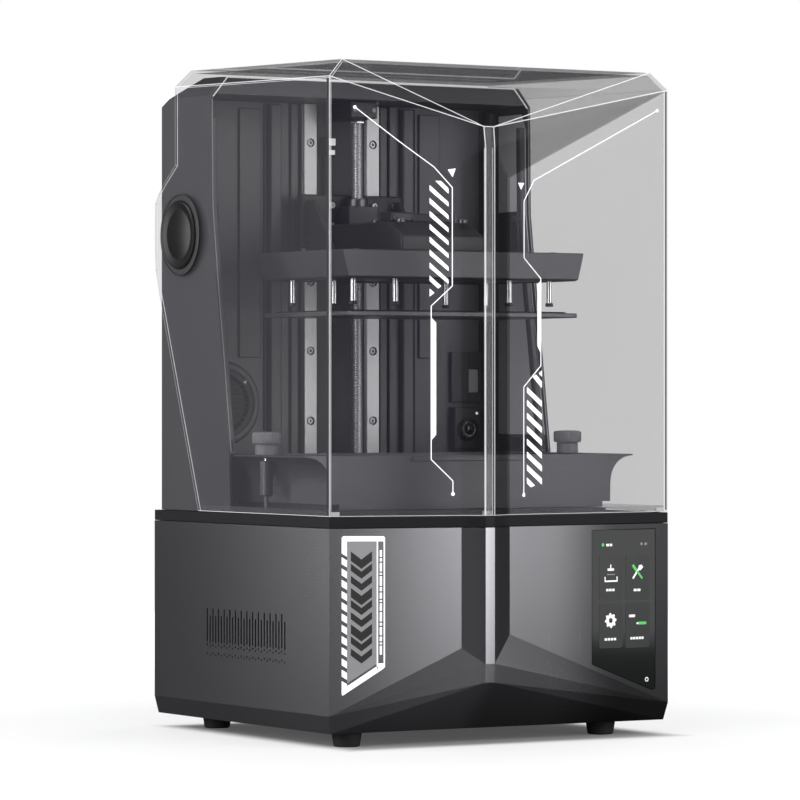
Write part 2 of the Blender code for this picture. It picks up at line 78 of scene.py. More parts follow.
# ====================================================================== camera
cam_data = bpy.data.cameras.new("camera")
cam = bpy.data.objects.new("camera", cam_data)
SCENE.collection.objects.link(cam)
cam.location = (-1.9224, -3.16945, 0.2776)
cam.rotation_euler = (math.radians(90.0), 0.0, math.radians(-31.0))
cam_data.sensor_width = 36.0
cam_data.lens = 199.83
cam_data.shift_y = -0.00246
cam_data.clip_start = 0.1
cam_data.clip_end = 100.0
SCENE.camera = cam
SCENE.view_settings.view_transform = "Standard"
SCENE.view_settings.look = "None"


# ====================================================================== materials
def nodes_of(m):
    m.use_nodes = True
    nt = m.node_tree
    return nt, nt.nodes["Principled BSDF"]


def mix_rgb(nt, fac, a, b):
    n = nt.nodes.new("ShaderNodeMix")
    n.data_type = "RGBA"
    nt.links.new(fac, n.inputs[0])
    n.inputs[6].default_value = (*a, 1.0)
    n.inputs[7].default_value = (*b, 1.0)
    return n.outputs[2]


def material(name, rgb, metal=0.0, rough=0.45, vary=0.12, grain=900.0, bump=0.02, streak=None,
             rough_vary=0.06, alpha=None, ior=None, emit=None, emit_strength=0.0, transmission=0.0, big=14.0):
    """Principled surface with colour, roughness and bump from procedural noise."""
    m = bpy.data.materials.new(name)
    nt, b = nodes_of(m)
    tc = nt.nodes.new("ShaderNodeTexCoord")
    mp = nt.nodes.new("ShaderNodeMapping")
    nt.links.new(tc.outputs["Object"], mp.inputs["Vector"])
    if streak:
        mp.inputs["Scale"].default_value = streak
    fine = nt.nodes.new("ShaderNodeTexNoise")
    fine.inputs["Scale"].default_value = grain if not streak else 1.0
    fine.inputs["Detail"].default_value = 4.0
    nt.links.new(mp.outputs["Vector"], fine.inputs["Vector"])
    wide = nt.nodes.new("ShaderNodeTexNoise")
    wide.inputs["Scale"].default_value = big
    wide.inputs["Detail"].default_value = 3.0
    nt.links.new(tc.outputs["Object"], wide.inputs["Vector"])
    add = nt.nodes.new("ShaderNodeMath")
    add.operation = "MULTIPLY_ADD"
    nt.links.new(wide.outputs["Fac"], add.inputs[0])
    add.inputs[1].default_value = 0.6
    sc = nt.nodes.new("ShaderNodeMath")
    sc.operation = "MULTIPLY"
    nt.links.new(fine.outputs["Fac"], sc.inputs[0])
    sc.inputs[1].default_value = 0.4
    nt.links.new(sc.outputs[0], add.inputs[2])
    lo = tuple(max(0.0, c * (1.0 - vary)) for c in rgb)
    hi = tuple(min(1.0, c * (1.0 + vary)) for c in rgb)
    nt.links.new(mix_rgb(nt, add.outputs[0], lo, hi), b.inputs["Base Color"])
    mr = nt.nodes.new("ShaderNodeMapRange")
    nt.links.new(add.outputs[0], mr.inputs["Value"])
    mr.inputs["To Min"].default_value = max(0.01, rough - rough_vary)
    mr.inputs["To Max"].default_value = min(1.0, rough + rough_vary)
    nt.links.new(mr.outputs["Result"], b.inputs["Roughness"])
    b.inputs["Metallic"].default_value = metal
    if bump:
        bn = nt.nodes.new("ShaderNodeBump")
        bn.inputs["Strength"].default_value = bump
        bn.inputs["Distance"].default_value = 0.0004
        nt.links.new(fine.outputs["Fac"], bn.inputs["Height"])
        nt.links.new(bn.outputs["Normal"], b.inputs["Normal"])
    if alpha is not None:
        b.inputs["Alpha"].default_value = alpha
    if ior is not None:
        b.inputs["IOR"].default_value = ior
    if transmission:
        b.inputs["Transmission Weight"].default_value = transmission
    if emit:
        b.inputs["Emission Color"].default_value = (*emit, 1.0)
        b.inputs["Emission Strength"].default_value = emit_strength
    return m


M = {}
M["case"] = material("case_brushed_painted_shade", (0.2, 0.2, 0.21), 0.95, 0.27, 0.025, bump=0.006, streak=(1400, 1400, 20), rough_vary=0.012, big=3.0)
# painted highlight and shade: the case colour is scaled by position, lighter on the left panel beside the front ridge
# and darker towards the right-hand edge, the left edge and the rear, standing in for how the softboxes fall across the
# panels
cnt, cb_ = nodes_of(M["case"])
ctc = cnt.nodes.new("ShaderNodeTexCoord")
csx = cnt.nodes.new("ShaderNodeSeparateXYZ")
cnt.links.new(ctc.outputs["Object"], csx.inputs[0])


def ramp(src, a, b, lo, hi):
    n = cnt.nodes.new("ShaderNodeMapRange")
    n.interpolation_type = "SMOOTHSTEP"
    n.inputs["From Min"].default_value, n.inputs["From Max"].default_value = a, b
    n.inputs["To Min"].default_value, n.inputs["To Max"].default_value = lo, hi
    cnt.links.new(src, n.inputs["Value"])
    return n.outputs["Result"]


def times(a, b):
    n = cnt.nodes.new("ShaderNodeMath")
    n.operation = "MULTIPLY"
    cnt.links.new(a, n.inputs[0])
    cnt.links.new(b, n.inputs[1])
    return n.outputs[0]


fac = times(times(times(ramp(csx.outputs["X"], -0.048, -0.020, 1.14, 0.66), ramp(csx.outputs["X"], 0.03, 0.11, 1.0, 0.28)), ramp(csx.outputs["X"], -0.165, -0.07, 0.74, 1.1)), ramp(csx.outputs["Y"], -0.131, 0.12, 1.2, 0.94))
# the right-hand side and the rear wall keep one even tone instead of the painted shade
cnx = cnt.nodes.new("ShaderNodeSeparateXYZ")
cnt.links.new(ctc.outputs["Normal"], cnx.inputs[0])
gate = cnt.nodes.new("ShaderNodeMath")
gate.operation = "ADD"
gate.use_clamp = True
cnt.links.new(ramp(cnx.outputs["X"], 0.75, 0.95, 0.0, 1.0), gate.inputs[0])
cnt.links.new(ramp(cnx.outputs["Y"], 0.75, 0.95, 0.0, 1.0), gate.inputs[1])
even = cnt.nodes.new("ShaderNodeMix")
cnt.links.new(gate.outputs[0], even.inputs[0])
cnt.links.new(fac, even.inputs[2])
even.inputs[3].default_value = 0.85
fac = even.outputs[0]
painted_light_scale = cnt.nodes.new("ShaderNodeVectorMath")
painted_light_scale.operation = "SCALE"
cnt.links.new(cb_.inputs["Base Color"].links[0].from_socket, painted_light_scale.inputs[0])
cnt.links.new(fac, painted_light_scale.inputs["Scale"])
cnt.links.new(painted_light_scale.outputs["Vector"], cb_.inputs["Base Color"])
M["rim"] = material("rim_dark", (0.014, 0.014, 0.0155), 0.0, 0.5, 0.08, bump=0.04, rough_vary=0.04, ior=1.22)
M["under"] = material("under_dark", (0.04, 0.04, 0.043), 0.3, 0.5, 0.08, bump=0.04)
M["column"] = material("column_paint", (0.045, 0.045, 0.05), 0.1, 0.42, 0.08, grain=1400, bump=0.012)
M["panel"] = material("bay_panel", (0.075, 0.075, 0.082), 0.1, 0.42, 0.08, grain=1400, bump=0.012)
# painted light: a much lighter copy of the bay panel, used for the right cheek's liner
M["panel_painted_light"] = material("bay_panel_light", (0.68, 0.68, 0.71), 0.1, 0.45, 0.06, grain=1400, bump=0.012)
M["panel_dark"] = material("bay_panel_dark", (0.009, 0.009, 0.01), 0.1, 0.5, 0.08, grain=1400, bump=0.012)
# painted light and shade: the lid is one smoked acrylic, but these copies give each face its own tint and alpha, a
# darker wedge and facets as painted shade, a lighter ridge strip as painted highlight and milky side walls as painted
# reflection
M["smoke"] = material("lid_smoke", (0.06, 0.057, 0.078), 0.0, 0.03, 0.05, bump=0.0, rough_vary=0.01, alpha=0.148, ior=1.4, big=6.0)
# painted highlight: the lid's bevelled edges glow white, standing in for the light the polished acrylic edges catch
M["smoke_edge_painted_highlight"] = material("lid_edge_painted_highlight", (0.75, 0.75, 0.77), 0.0, 0.12, 0.05, bump=0.0, rough_vary=0.02, alpha=0.7, ior=1.6, big=6.0, emit=(1.0, 1.0, 1.0), emit_strength=0.3)
M["smoke_dark"] = material("lid_smoke_dark", (0.012, 0.012, 0.014), 0.0, 0.05, 0.05, bump=0.0, rough_vary=0.01, alpha=0.55, ior=1.25, big=6.0)
M["smoke_wing"] = material("lid_smoke_wing", (0.02, 0.02, 0.023), 0.0, 0.05, 0.05, bump=0.0, rough_vary=0.01, alpha=0.42, ior=1.25, big=6.0)
M["smoke_side"] = material("lid_smoke_side", (0.13, 0.13, 0.145), 0.0, 0.04, 0.05, bump=0.0, rough_vary=0.01, alpha=0.16, ior=1.4, big=6.0)
M["smoke_mid"] = material("lid_smoke_mid", (0.02, 0.02, 0.024), 0.0, 0.05, 0.05, bump=0.0, rough_vary=0.01, alpha=0.17, ior=1.4, big=6.0)
M["smoke_strip"] = material("lid_smoke_strip", (0.24, 0.24, 0.26), 0.0, 0.12, 0.05, bump=0.0, rough_vary=0.01, alpha=0.17, ior=1.45, big=6.0)
M["smoke_slope"] = material("lid_smoke_slope", (0.02, 0.02, 0.024), 0.0, 0.05, 0.05, bump=0.0, rough_vary=0.01, alpha=0.26, ior=1.4, big=6.0)
M["smoke_top"] = material("lid_smoke_top", (0.014, 0.014, 0.017), 0.0, 0.04, 0.05, bump=0.0, rough_vary=0.01, alpha=0.14, ior=1.5, big=6.0)
top_nt, top_b = nodes_of(M["smoke_top"])
lw = top_nt.nodes.new("ShaderNodeLayerWeight")
lw.inputs["Blend"].default_value = 0.5
lmr = top_nt.nodes.new("ShaderNodeMapRange")
lmr.inputs["From Min"].default_value = 0.67
lmr.inputs["From Max"].default_value = 0.93
lmr.inputs["To Min"].default_value = 0.14
lmr.inputs["To Max"].default_value = 0.72
top_nt.links.new(lw.outputs["Facing"], lmr.inputs["Value"])
top_nt.links.new(lmr.outputs["Result"], top_b.inputs["Alpha"])
# white print, made to glow a little as painted highlight
M["ink"] = material("white_ink_painted_glow", (0.86, 0.86, 0.87), 0.0, 0.5, 0.03, grain=1800, bump=0.03, emit=(1.0, 1.0, 1.0), emit_strength=0.55)
M["ink_black"] = material("black_ink", (0.012, 0.012, 0.013), 0.0, 0.45, 0.05, grain=1800, bump=0.03)
M["decal_grey"] = material("decal_grey", (0.33, 0.33, 0.34), 0.2, 0.5, 0.04, grain=1800, bump=0.03)
M["black"] = material("black_plastic", (0.02, 0.02, 0.021), 0.0, 0.42, 0.1, grain=1600, bump=0.06)
M["black_gloss"] = material("black_gloss", (0.008, 0.008, 0.009), 0.0, 0.3, 0.08, grain=1200, bump=0.0, rough_vary=0.03, ior=1.35)
M["rubber"] = material("rubber", (0.012, 0.012, 0.012), 0.0, 0.75, 0.12, grain=1500, bump=0.12)
M["steel"] = material("ground_steel", (0.38, 0.38, 0.39), 0.9, 0.38, 0.04, bump=0.06, streak=(900, 900, 12), rough_vary=0.04)
M["steel_dark"] = material("dark_steel", (0.16, 0.16, 0.165), 1.0, 0.38, 0.06, bump=0.04)
M["alu"] = material("blasted_aluminium", (0.085, 0.085, 0.09), 0.6, 0.42, 0.05, grain=2200, bump=0.1)
M["alu_plate"] = material("brushed_plate", (0.36, 0.36, 0.375), 1.0, 0.36, 0.05, bump=0.06, streak=(30, 900, 900))
M["vat"] = material("vat_anodised", (0.1, 0.1, 0.107), 0.5, 0.42, 0.05, grain=2200, bump=0.08)
M["chrome"] = material("bright_pin", (0.78, 0.78, 0.8), 0.85, 0.2, 0.03, bump=0.0, rough_vary=0.03)
M["glass_black"] = material("glass_black", (0.004, 0.005, 0.005), 0.0, 0.08, 0.05, bump=0.0, rough_vary=0.02)
M["tile"] = material("ui_tile", (0.013, 0.014, 0.014), 0.0, 0.3, 0.04, grain=2000, bump=0.0, emit=(0.9, 0.95, 0.95), emit_strength=0.008)
M["ui_white"] = material("ui_white", (0.8, 0.8, 0.8), 0.0, 0.3, 0.03, grain=2000, bump=0.0, emit=(1, 1, 1), emit_strength=0.35)
M["ui_green"] = material("ui_green", (0.08, 0.5, 0.1), 0.0, 0.3, 0.05, grain=2000, bump=0.0, emit=(0.15, 0.8, 0.2), emit_strength=0.25)
M["ui_grey"] = material("ui_grey", (0.25, 0.25, 0.26), 0.0, 0.3, 0.03, grain=2000, bump=0.0, emit=(0.6, 0.6, 0.6), emit_strength=0.08)
M["lamp"] = material("lamp_window", (0.32, 0.32, 0.33), 0.0, 0.35, 0.05, grain=1500, bump=0.02)
# painted highlight: glowing bead material for the light line along the tower's top edge
M["painted_edge_highlight"] = material("painted_edge_highlight", (0.62, 0.62, 0.64), 0.0, 0.3, 0.03, bump=0.0, emit=(1.0, 1.0, 1.0), emit_strength=0.42)
# painted highlight: lighter bead material for the light line along the cheek edges
M["edge_dim_painted_highlight"] = material("edge_dim_painted_highlight", (0.3, 0.3, 0.31), 0.1, 0.35, 0.03, bump=0.0)
M["knob"] = material("knob_plastic", (0.2, 0.2, 0.21), 0.0, 0.45, 0.08, grain=1500, bump=0.03)
M["clip"] = material("clip_steel", (0.7, 0.7, 0.71), 0.3, 0.35, 0.05, bump=0.0)
M["thread"] = material("thread_steel", (0.62, 0.62, 0.64), 0.55, 0.34, 0.04, bump=0.0)
M["plate"] = material("plate_anodised", (0.115, 0.115, 0.123), 0.5, 0.4, 0.05, grain=2200, bump=0.05)
M["lens"] = material("lens_glass", (0.01, 0.01, 0.014), 0.0, 0.05, 0.05, bump=0.0, rough_vary=0.01, ior=1.6)
M["film"] = material("film_clear", (0.55, 0.56, 0.58), 0.0, 0.1, 0.04, bump=0.0, alpha=0.35)
M["clear"] = material("clear_glass", (0.5, 0.53, 0.55), 0.0, 0.05, 0.04, bump=0.0, alpha=0.45)
M["circuit"] = material("circuit_green", (0.02, 0.12, 0.05), 0.0, 0.5, 0.2, grain=700, bump=0.1)
M["lcd"] = material("lcd_black", (0.01, 0.01, 0.013), 0.0, 0.12, 0.05, bump=0.0, rough_vary=0.02)


# ====================================================================== building
def finish_mesh(name, bm, mat, body, replaces=(), smooth=None, bevel=None, bevel_seg=2, edge_mat=None, recalc=True):
    if recalc:
        bmesh.ops.recalc_face_normals(bm, faces=bm.faces)
    me = bpy.data.meshes.new(name)
    bm.to_mesh(me)
    bm.free()
    ob = bpy.data.objects.new(name, me)
    SCENE.collection.objects.link(ob)
    me.materials.append(M[mat])
    if edge_mat:
        me.materials.append(M[edge_mat])
    if bevel:
        bv = ob.modifiers.new("bevel", "BEVEL")
        bv.width = bevel * 0.001
        bv.segments = bevel_seg
        bv.limit_method = "ANGLE"
        bv.angle_limit = math.radians(24 if not edge_mat else 6)
        bv.harden_normals = False
        if edge_mat:
            bv.material = 1
    if smooth or bevel:
        me.shade_smooth()
        me.set_sharp_from_angle(angle=math.radians(smooth or 32))
        if bevel:
            wn = ob.modifiers.new("weighted", "WEIGHTED_NORMAL")
            wn.keep_sharp = True
            wn.weight = 80
    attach(ob, body)
    if replaces:
        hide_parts(*replaces)
    return ob


def node_bm(node):
    """The CAD node's mesh with its flat faces joined back together."""
    bm = bmesh.new()
    bm.from_mesh(NODES[node].data)
    bmesh.ops.remove_doubles(bm, verts=bm.verts, dist=0.000002)
    bmesh.ops.dissolve_limit(bm, angle_limit=math.radians(0.6), verts=bm.verts, edges=bm.edges)
    return bm


def refine(node, mat, bevel=0.6, seg=2, smooth=None, name=None, edge_mat=None, cutters=()):
    body = NODES[node]["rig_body"]
    ob = finish_mesh(name or node + "_detail", node_bm(node), mat, body, (node,), smooth=smooth, bevel=bevel, bevel_seg=seg, edge_mat=edge_mat)
    return ob


def box_bm(bm, x0, x1, y0, y1, z0, z1):
    r = bmesh.ops.create_cube(bm, size=1.0)
    lo, hi = P(x0, y0, z0), P(x1, y1, z1)
    bmesh.ops.scale(bm, vec=hi - lo, verts=r["verts"])
    bmesh.ops.translate(bm, vec=(lo + hi) / 2, verts=r["verts"])
    return r["verts"]


def boxes(name, mat, body, items, bevel=None, replaces=(), seg=2):
    bm = bmesh.new()
    for it in items:
        box_bm(bm, *it)
    return finish_mesh(name, bm, mat, body, replaces, bevel=bevel, bevel_seg=seg)


def prism_into(bm, pts, fn, c0, c1):
    """Closed prism: fn(a, b, c) gives the world point for outline point (a, b) at depth c."""
    lo = [bm.verts.new(fn(a, b, c0)) for a, b in pts]
    hi = [bm.verts.new(fn(a, b, c1)) for a, b in pts]
    n = len(pts)
    bm.faces.new(lo)
    bm.faces.new(hi)
    for i in range(n):
        j = (i + 1) % n
        bm.faces.new((lo[i], lo[j], hi[j], hi[i]))


AX = {"Z": lambda a, b, c: P(a, b, c), "X": lambda a, b, c: P(c, a, b), "Y": lambda a, b, c: P(a, c, b)}


def prism(name, mat, body, pts, along, c0, c1, replaces=(), bevel=None, seg=2, smooth=None, edge_mat=None):
    bm = bmesh.new()
    prism_into(bm, pts, AX[along], c0, c1)
    return finish_mesh(name, bm, mat, body, replaces, bevel=bevel, bevel_seg=seg, smooth=smooth, edge_mat=edge_mat)


def lathe_into(bm, cx, cy, cz, profile, along="Z", seg=48, radial=None):
    rings = []
    for r, h in profile:
        ring = []
        for i in range(1 if r <= 1e-9 else seg):
            a = 2 * math.pi * i / seg
            rr = r if radial is None else radial(r, h, a)
            u, v = rr * math.cos(a), rr * math.sin(a)
            p = {"Z": (cx + u, cy + v, cz + h), "Y": (cx + u, cy + h, cz + v), "X": (cx + h, cy + u, cz + v)}[along]
            ring.append(bm.verts.new(P(*p)))
        rings.append(ring)
    closed = profile[0][0] > 1e-9 and profile[-1][0] > 1e-9
    pairs = list(zip(rings[:-1], rings[1:])) + ([(rings[-1], rings[0])] if closed else [])
    for a, b in pairs:
        for i in range(seg):
            j = (i + 1) % seg
            if len(a) == 1:
                bm.faces.new((a[0], b[i], b[j]))
            elif len(b) == 1:
                bm.faces.new((a[i], a[j], b[0]))
            else:
                bm.faces.new((a[i], a[j], b[j], b[i]))


def lathe(name, mat, body, cx, cy, cz, profile, along="Z", seg=48, replaces=(), smooth=35, radial=None, bevel=None):
    bm = bmesh.new()
    lathe_into(bm, cx, cy, cz, profile, along, seg, radial)
    return finish_mesh(name, bm, mat, body, replaces, smooth=smooth, bevel=bevel)


def apply_mods(ob):
    dg = bpy.context.evaluated_depsgraph_get()
    me = bpy.data.meshes.new_from_object(ob.evaluated_get(dg))
    ob.modifiers.clear()
    old = ob.data
    ob.data = me
    return ob


def cut_with(ob, bm, name):
    """Cuts the closed bodies in bm out of ob, before its bevel."""
    bmesh.ops.recalc_face_normals(bm, faces=bm.faces)
    me = bpy.data.meshes.new(name)
    bm.to_mesh(me)
    bm.free()
    c = bpy.data.objects.new(name, me)
    SCENE.collection.objects.link(c)
    md = ob.modifiers.new("cut", "BOOLEAN")
    md.operation = "DIFFERENCE"
    md.solver = "EXACT"
    md.object = c
    while ob.modifiers[0] != md:
        bpy.context.view_layer.objects.active = ob
        i = list(ob.modifiers).index(md)
        ob.modifiers.move(i, 0)
        md = ob.modifiers[0]
    apply_mods(ob)
    bpy.data.objects.remove(c)
    return ob


def panel_fn(side):
    """Maps (x, z, d) to a point d mm out of the left or right front panel."""
    a, b = ((-HW, 0.0), RIDGE[0]) if side == "L" else (RIDGE[3], (HW, 0.0))
    L = math.hypot(b[0] - a[0], b[1] - a[1])
    nx, ny = (b[1] - a[1]) / L, -(b[0] - a[0]) / L

    def fn(x, z, d):
        y = a[1] + (b[1] - a[1]) * (x - a[0]) / (b[0] - a[0])
        return P(x + nx * d, y + ny * d, z)
    return fn


def ribbon_into(bm, pts, width, fn, d0, d1):
    """A flat line of even width along pts, as one closed strip."""
    n = len(pts)
    left, right = [], []
    for i, p in enumerate(pts):
        v = Vector(p)
        d_in = (v - Vector(pts[i - 1])).normalized() if i else None
        d_out = (Vector(pts[i + 1]) - v).normalized() if i < n - 1 else None
        if d_in is None:
            nrm = Vector((-d_out.y, d_out.x))
        elif d_out is None:
            nrm = Vector((-d_in.y, d_in.x))
        else:
            n0, n1 = Vector((-d_in.y, d_in.x)), Vector((-d_out.y, d_out.x))
            nrm = (n0 + n1) / (1 + n0.dot(n1))
        left.append(tuple(v + nrm * width / 2))
        right.append(tuple(v - nrm * width / 2))
    prism_into(bm, left + right[::-1], fn, d0, d1)


def disc_pts(cx, cz, r, n=20):
    return [(cx + r * math.cos(2 * math.pi * i / n), cz + r * math.sin(2 * math.pi * i / n)) for i in range(n)]


def round_rect(x0, x1, z0, z1, r, n=5):
    pts = []
    for cx, cz, a0 in ((x1 - r, z1 - r, 0), (x0 + r, z1 - r, 90), (x0 + r, z0 + r, 180), (x1 - r, z0 + r, 270)):
        for i in range(n + 1):
            a = math.radians(a0 + 90.0 * i / n)
            pts.append((cx + r * math.cos(a), cz + r * math.sin(a)))
    return pts


# ====================================================================== base
bm = node_bm("base_shell")
for v in bm.verts:
    x, y, z = v.co.x * 1000.0, v.co.y * 1000.0 + Y_MID, v.co.z * 1000.0
    if z < 12.9:
        if abs(x) > 152.5:
            x = math.copysign(159.6, x)
        if y < 9.5:
            y = 3.4
        elif y > 286.5:
            y = 292.6
        if abs(x) > 152.5 or y < 9.5 or y > 286.5:
            z = 11.3
        v.co = P(x, y, z)
base = finish_mesh("base_shell_detail", bm, "case", "base", ("base_shell",))
deck = refine("deck_plate", "rim", bevel=0.5)
refine("bottom_plate", "under", bevel=0.4)
for tag in ("front_left", "front_right", "rear_left", "rear_right"):
    lo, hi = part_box("foot_" + tag)
    cx, cy = (lo.x + hi.x) * 500, (lo.y + hi.y) * 500 + Y_MID
    lathe("rubber_foot_" + tag, "rubber", "base", cx, cy, 0.0,
          [(0, 0.6), (6.0, 0.6), (6.4, 0.0), (9.8, 0.0), (10.5, 0.6), (10.9, 2.0), (11.9, 9.0), (12.1, 9.3), (12.1, 10.4), (12.4, 10.8), (12.4, 12.2), (0, 12.2)],
          seg=64, replaces=("foot_" + tag,))

# ====================================================================== lid
LID_MATS = ["smoke", "smoke_edge_painted_highlight", "smoke_dark", "smoke_mid", "smoke_strip", "smoke_top", "smoke_wing", "smoke_side", "smoke_slope"]
bm = node_bm("lid_shell")
bmesh.ops.recalc_face_normals(bm, faces=bm.faces)
bm.normal_update()
wl = bm.edges.layers.float.new("bevel_weight_edge")


def mm(v):
    return v.x * 1000.0, v.y * 1000.0 + Y_MID, v.z * 1000.0


# faces of the lid take the painted-light copies of the smoke: darker facets and wedge, lighter ridge strip, milky side
# walls
for f in bm.faces:
    n = f.normal
    cx, cy, cz = mm(f.calc_center_median())
    if abs(n.z) < 0.2 and -54.0 < cx < -35.5 and cy < -18.0:
        f.material_index = 3
    elif abs(n.z) < 0.2 and -36.0 < cx < -28.4 and cy < -26.0:
        f.material_index = 4
    elif abs(n.z) < 0.2 and -29.0 < cx < -5.0 and cy < -18.0:
        f.material_index = 2
    elif cz > 470.0 and abs(n.z) < 0.75 and cy < 3.0 and cx > -25.0 and abs(n.x) > 0.0 and cz < 505.0:
        f.material_index = 6
    elif abs(n.z) > 0.6 and cz > 520.0:
        f.material_index = 5
    elif abs(n.z) > 0.25 and cz > 500.0:
        f.material_index = 8
    elif abs(n.x) > 0.97:
        f.material_index = 7
# edges weighted here get their bevel in the glowing painted-highlight material
for e in bm.edges:
    if len(e.link_faces) != 2:
        continue
    ang = e.calc_face_angle(0.0)
    if ang < math.radians(7.0):
        continue
    a, b = mm(e.verts[0].co), mm(e.verts[1].co)
    upright = abs(a[0] - b[0]) < 1.2 and abs(a[1] - b[1]) < 3.0 and abs(a[2] - b[2]) > 10.0
    ends = [p for p in (a, b) if p[1] < -12.0]
    if upright and ends:
        # only the two outer ridge lines get the glowing painted highlight
        if max(p[1] for p in ends) > -29.9 or min(a[2], b[2]) > 480.0:
            continue
    elif ends and any(440.0 < p[2] < 488.0 for p in ends):
        continue
    elif ends and any(p[1] > -30.2 for p in ends) and max(a[2], b[2]) > 300.0:
        continue
    e[wl] = 1.0
me = bpy.data.meshes.new("lid_body")
bm.to_mesh(me)
bm.free()
lid = bpy.data.objects.new("lid_shell_clear", me)
SCENE.collection.objects.link(lid)
for k in LID_MATS:
    me.materials.append(M[k])
bv = lid.modifiers.new("bevel", "BEVEL")
bv.width = 0.00042
bv.segments = 2
bv.limit_method = "WEIGHT"
bv.material = 1
bv.use_clamp_overlap = True
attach(lid, "lid")
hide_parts("lid_shell")

# painted shade: dark strips in the thick corners of the moulding stand in for how they read as dark cores beside a
# bright edge
boxes("lid_corner_painted_shade", "rubber", "lid", [(-161.7, -160.3, 3.2, 4.8, 185.0, 531.0), (160.5, 161.3, 0.9, 1.7, 185.0, 531.0)])

LF, RF = panel_fn("L"), panel_fn("R")
bm = bmesh.new()
D0, D1 = 0.05, 0.2
ribbon_into(bm, [(-141.1, 508.2), (-103.9, 481.2), (-75.6, 461.8), (-60.4, 445.7), (-60.4, 367.1), (-78.0, 351.0), (-78.0, 228.6), (-59.9, 211.4), (-59.9, 201.0)], 0.75, LF, D0, D1)
prism_into(bm, disc_pts(-141.1, 508.2, 1.4), LF, D0, D1)
prism_into(bm, disc_pts(-59.9, 201.0, 1.5), LF, D0, D1)
prism_into(bm, [(-77.4, 341.4), (-73.9, 337.4), (-73.9, 248.4), (-77.4, 244.4)], LF, D0, D1)
prism_into(bm, [(-64.2, 460.0), (-57.6, 461.0), (-60.2, 454.0)], LF, D0, D1)
prism_into(bm, [(-74.6, 450.8), (-70.0, 450.8), (-63.6, 444.9), (-63.6, 440.6)], LF, D0, D1)
for i in range(8):
    z = 447.4 - 10.3 * i
    right = max(z - 13.5, 0)
    if i < 7:
        prism_into(bm, [(-79.3, z), (-63.6, z - 13.5), (-63.6, z - 17.0), (-79.3, z - 4.3)], LF, D0, D1)
    else:
        prism_into(bm, [(-79.3, z), (-69.6, z - 8.4), (-72.2, z - 10.4), (-79.3, z - 4.3)], LF, D0, D1)
prism_into(bm, [(-79.3, 364.8), (-75.3, 361.6), (-79.3, 358.4)], LF, D0, D1)

ribbon_into(bm, [(150.1, 515.1), (18.4, 453.5), (8.0, 436.5), (8.0, 390.6), (25.5, 374.2), (25.5, 303.8), (7.7, 286.5), (7.7, 199.4)], 0.75, RF, D0, D1)
prism_into(bm, disc_pts(150.1, 515.1, 1.4), RF, D0, D1)
prism_into(bm, disc_pts(7.7, 199.4, 1.5), RF, D0, D1)
prism_into(bm, [(25.0, 372.0), (22.0, 369.4), (22.0, 319.6), (25.0, 314.6)], RF, D0, D1)
prism_into(bm, [(1.7, 451.0), (8.1, 451.0), (4.9, 445.6)], RF, D0, D1)
prism_into(bm, [(23.5, 297.6), (26.6, 300.0), (26.6, 294.8)], RF, D0, D1)
prism_into(bm, [(17.0, 294.6), (20.4, 296.6), (26.6, 291.0), (26.6, 285.6)], RF, D0, D1)
for i in range(8):
    z = 286.6 - 10.44 * i
    if i < 7:
        prism_into(bm, [(11.0, z), (26.6, z - 11.6), (26.6, z - 16.4), (11.0, z - 4.6)], RF, D0, D1)
    else:
        prism_into(bm, [(11.0, z), (19.4, z - 6.6), (15.0, z - 8.0), (11.0, z - 4.6)], RF, D0, D1)
finish_mesh("lid_line_art", bm, "ink", "lid")

# ====================================================================== materials of the plainer nodes
PLAN = {
    "column_shell": ("column", 1.0), "fascia_left": ("panel", 0.8), "fascia_right": ("panel", 0.8), "z_backbone": ("panel_dark", 0.5),
    "rail_left": ("steel", 0.3), "rail_right": ("steel", 0.3), "screw_top_bearing": ("black", 0.6), "endstop_sensor": ("black", 0.5),
    "filter_cover": ("black", 0.4), "camera_housing": ("black", 1.0), "camera_lens": ("lens", 0.3), "light_bar": ("lamp", 0.3),
    "hinge_pin_left": ("steel", 0.3), "hinge_pin_right": ("steel", 0.3), "ball_screw": ("steel", 0.3),
    "carriage_plate": ("panel_dark", 0.8), "rail_block_left": ("steel_dark", 0.5), "rail_block_right": ("steel_dark", 0.5), "screw_nut": ("black", 0.5),
    "platform_arm": ("black", 1.2), "platform_block": ("alu", 0.8), "release_lever": ("black", 0.8), "build_plate": ("alu_plate", 0.5),
    "tilt_frame": ("rim", 0.5), "lcd_panel": ("lcd", 0.3), "vat_body": ("vat", 0.8), "release_film": ("film", 0.0),
    "vat_knob_left": ("black", 0.4), "vat_knob_right": ("black", 0.4), "tilt_pusher": ("steel", 0.3),
    "hinge_cap_left": ("black_gloss", 0.2), "hinge_cap_right": ("black_gloss", 0.2), "screen_glass": ("glass_black", 0.3),
    "mainboard": ("circuit", 0.2), "power_supply": ("alu", 0.6), "light_engine_housing": ("black", 0.6), "light_engine_lens": ("clear", 0.2),
    "z_motor": ("black", 1.0), "tilt_motor": ("black", 1.0), "fan_frame": ("black", 0.8), "fan_rotor": ("black", 0.4),
    "power_inlet": ("black", 0.6), "power_switch": ("black_gloss", 0.5), "usb_port": ("steel", 0.2),
}
for i in (1, 2, 3, 4):
    for j in "ab":
        PLAN["post_%d%s" % (i, j)] = ("chrome", 0.3)
DONE = set()


def plain(node):
    mat, bv = PLAN[node]
    if bv:
        refine(node, mat, bevel=bv, seg=2)
    else:
        NODES[node].data.materials.clear()
        NODES[node].data.materials.append(M[mat])
    DONE.add(node)



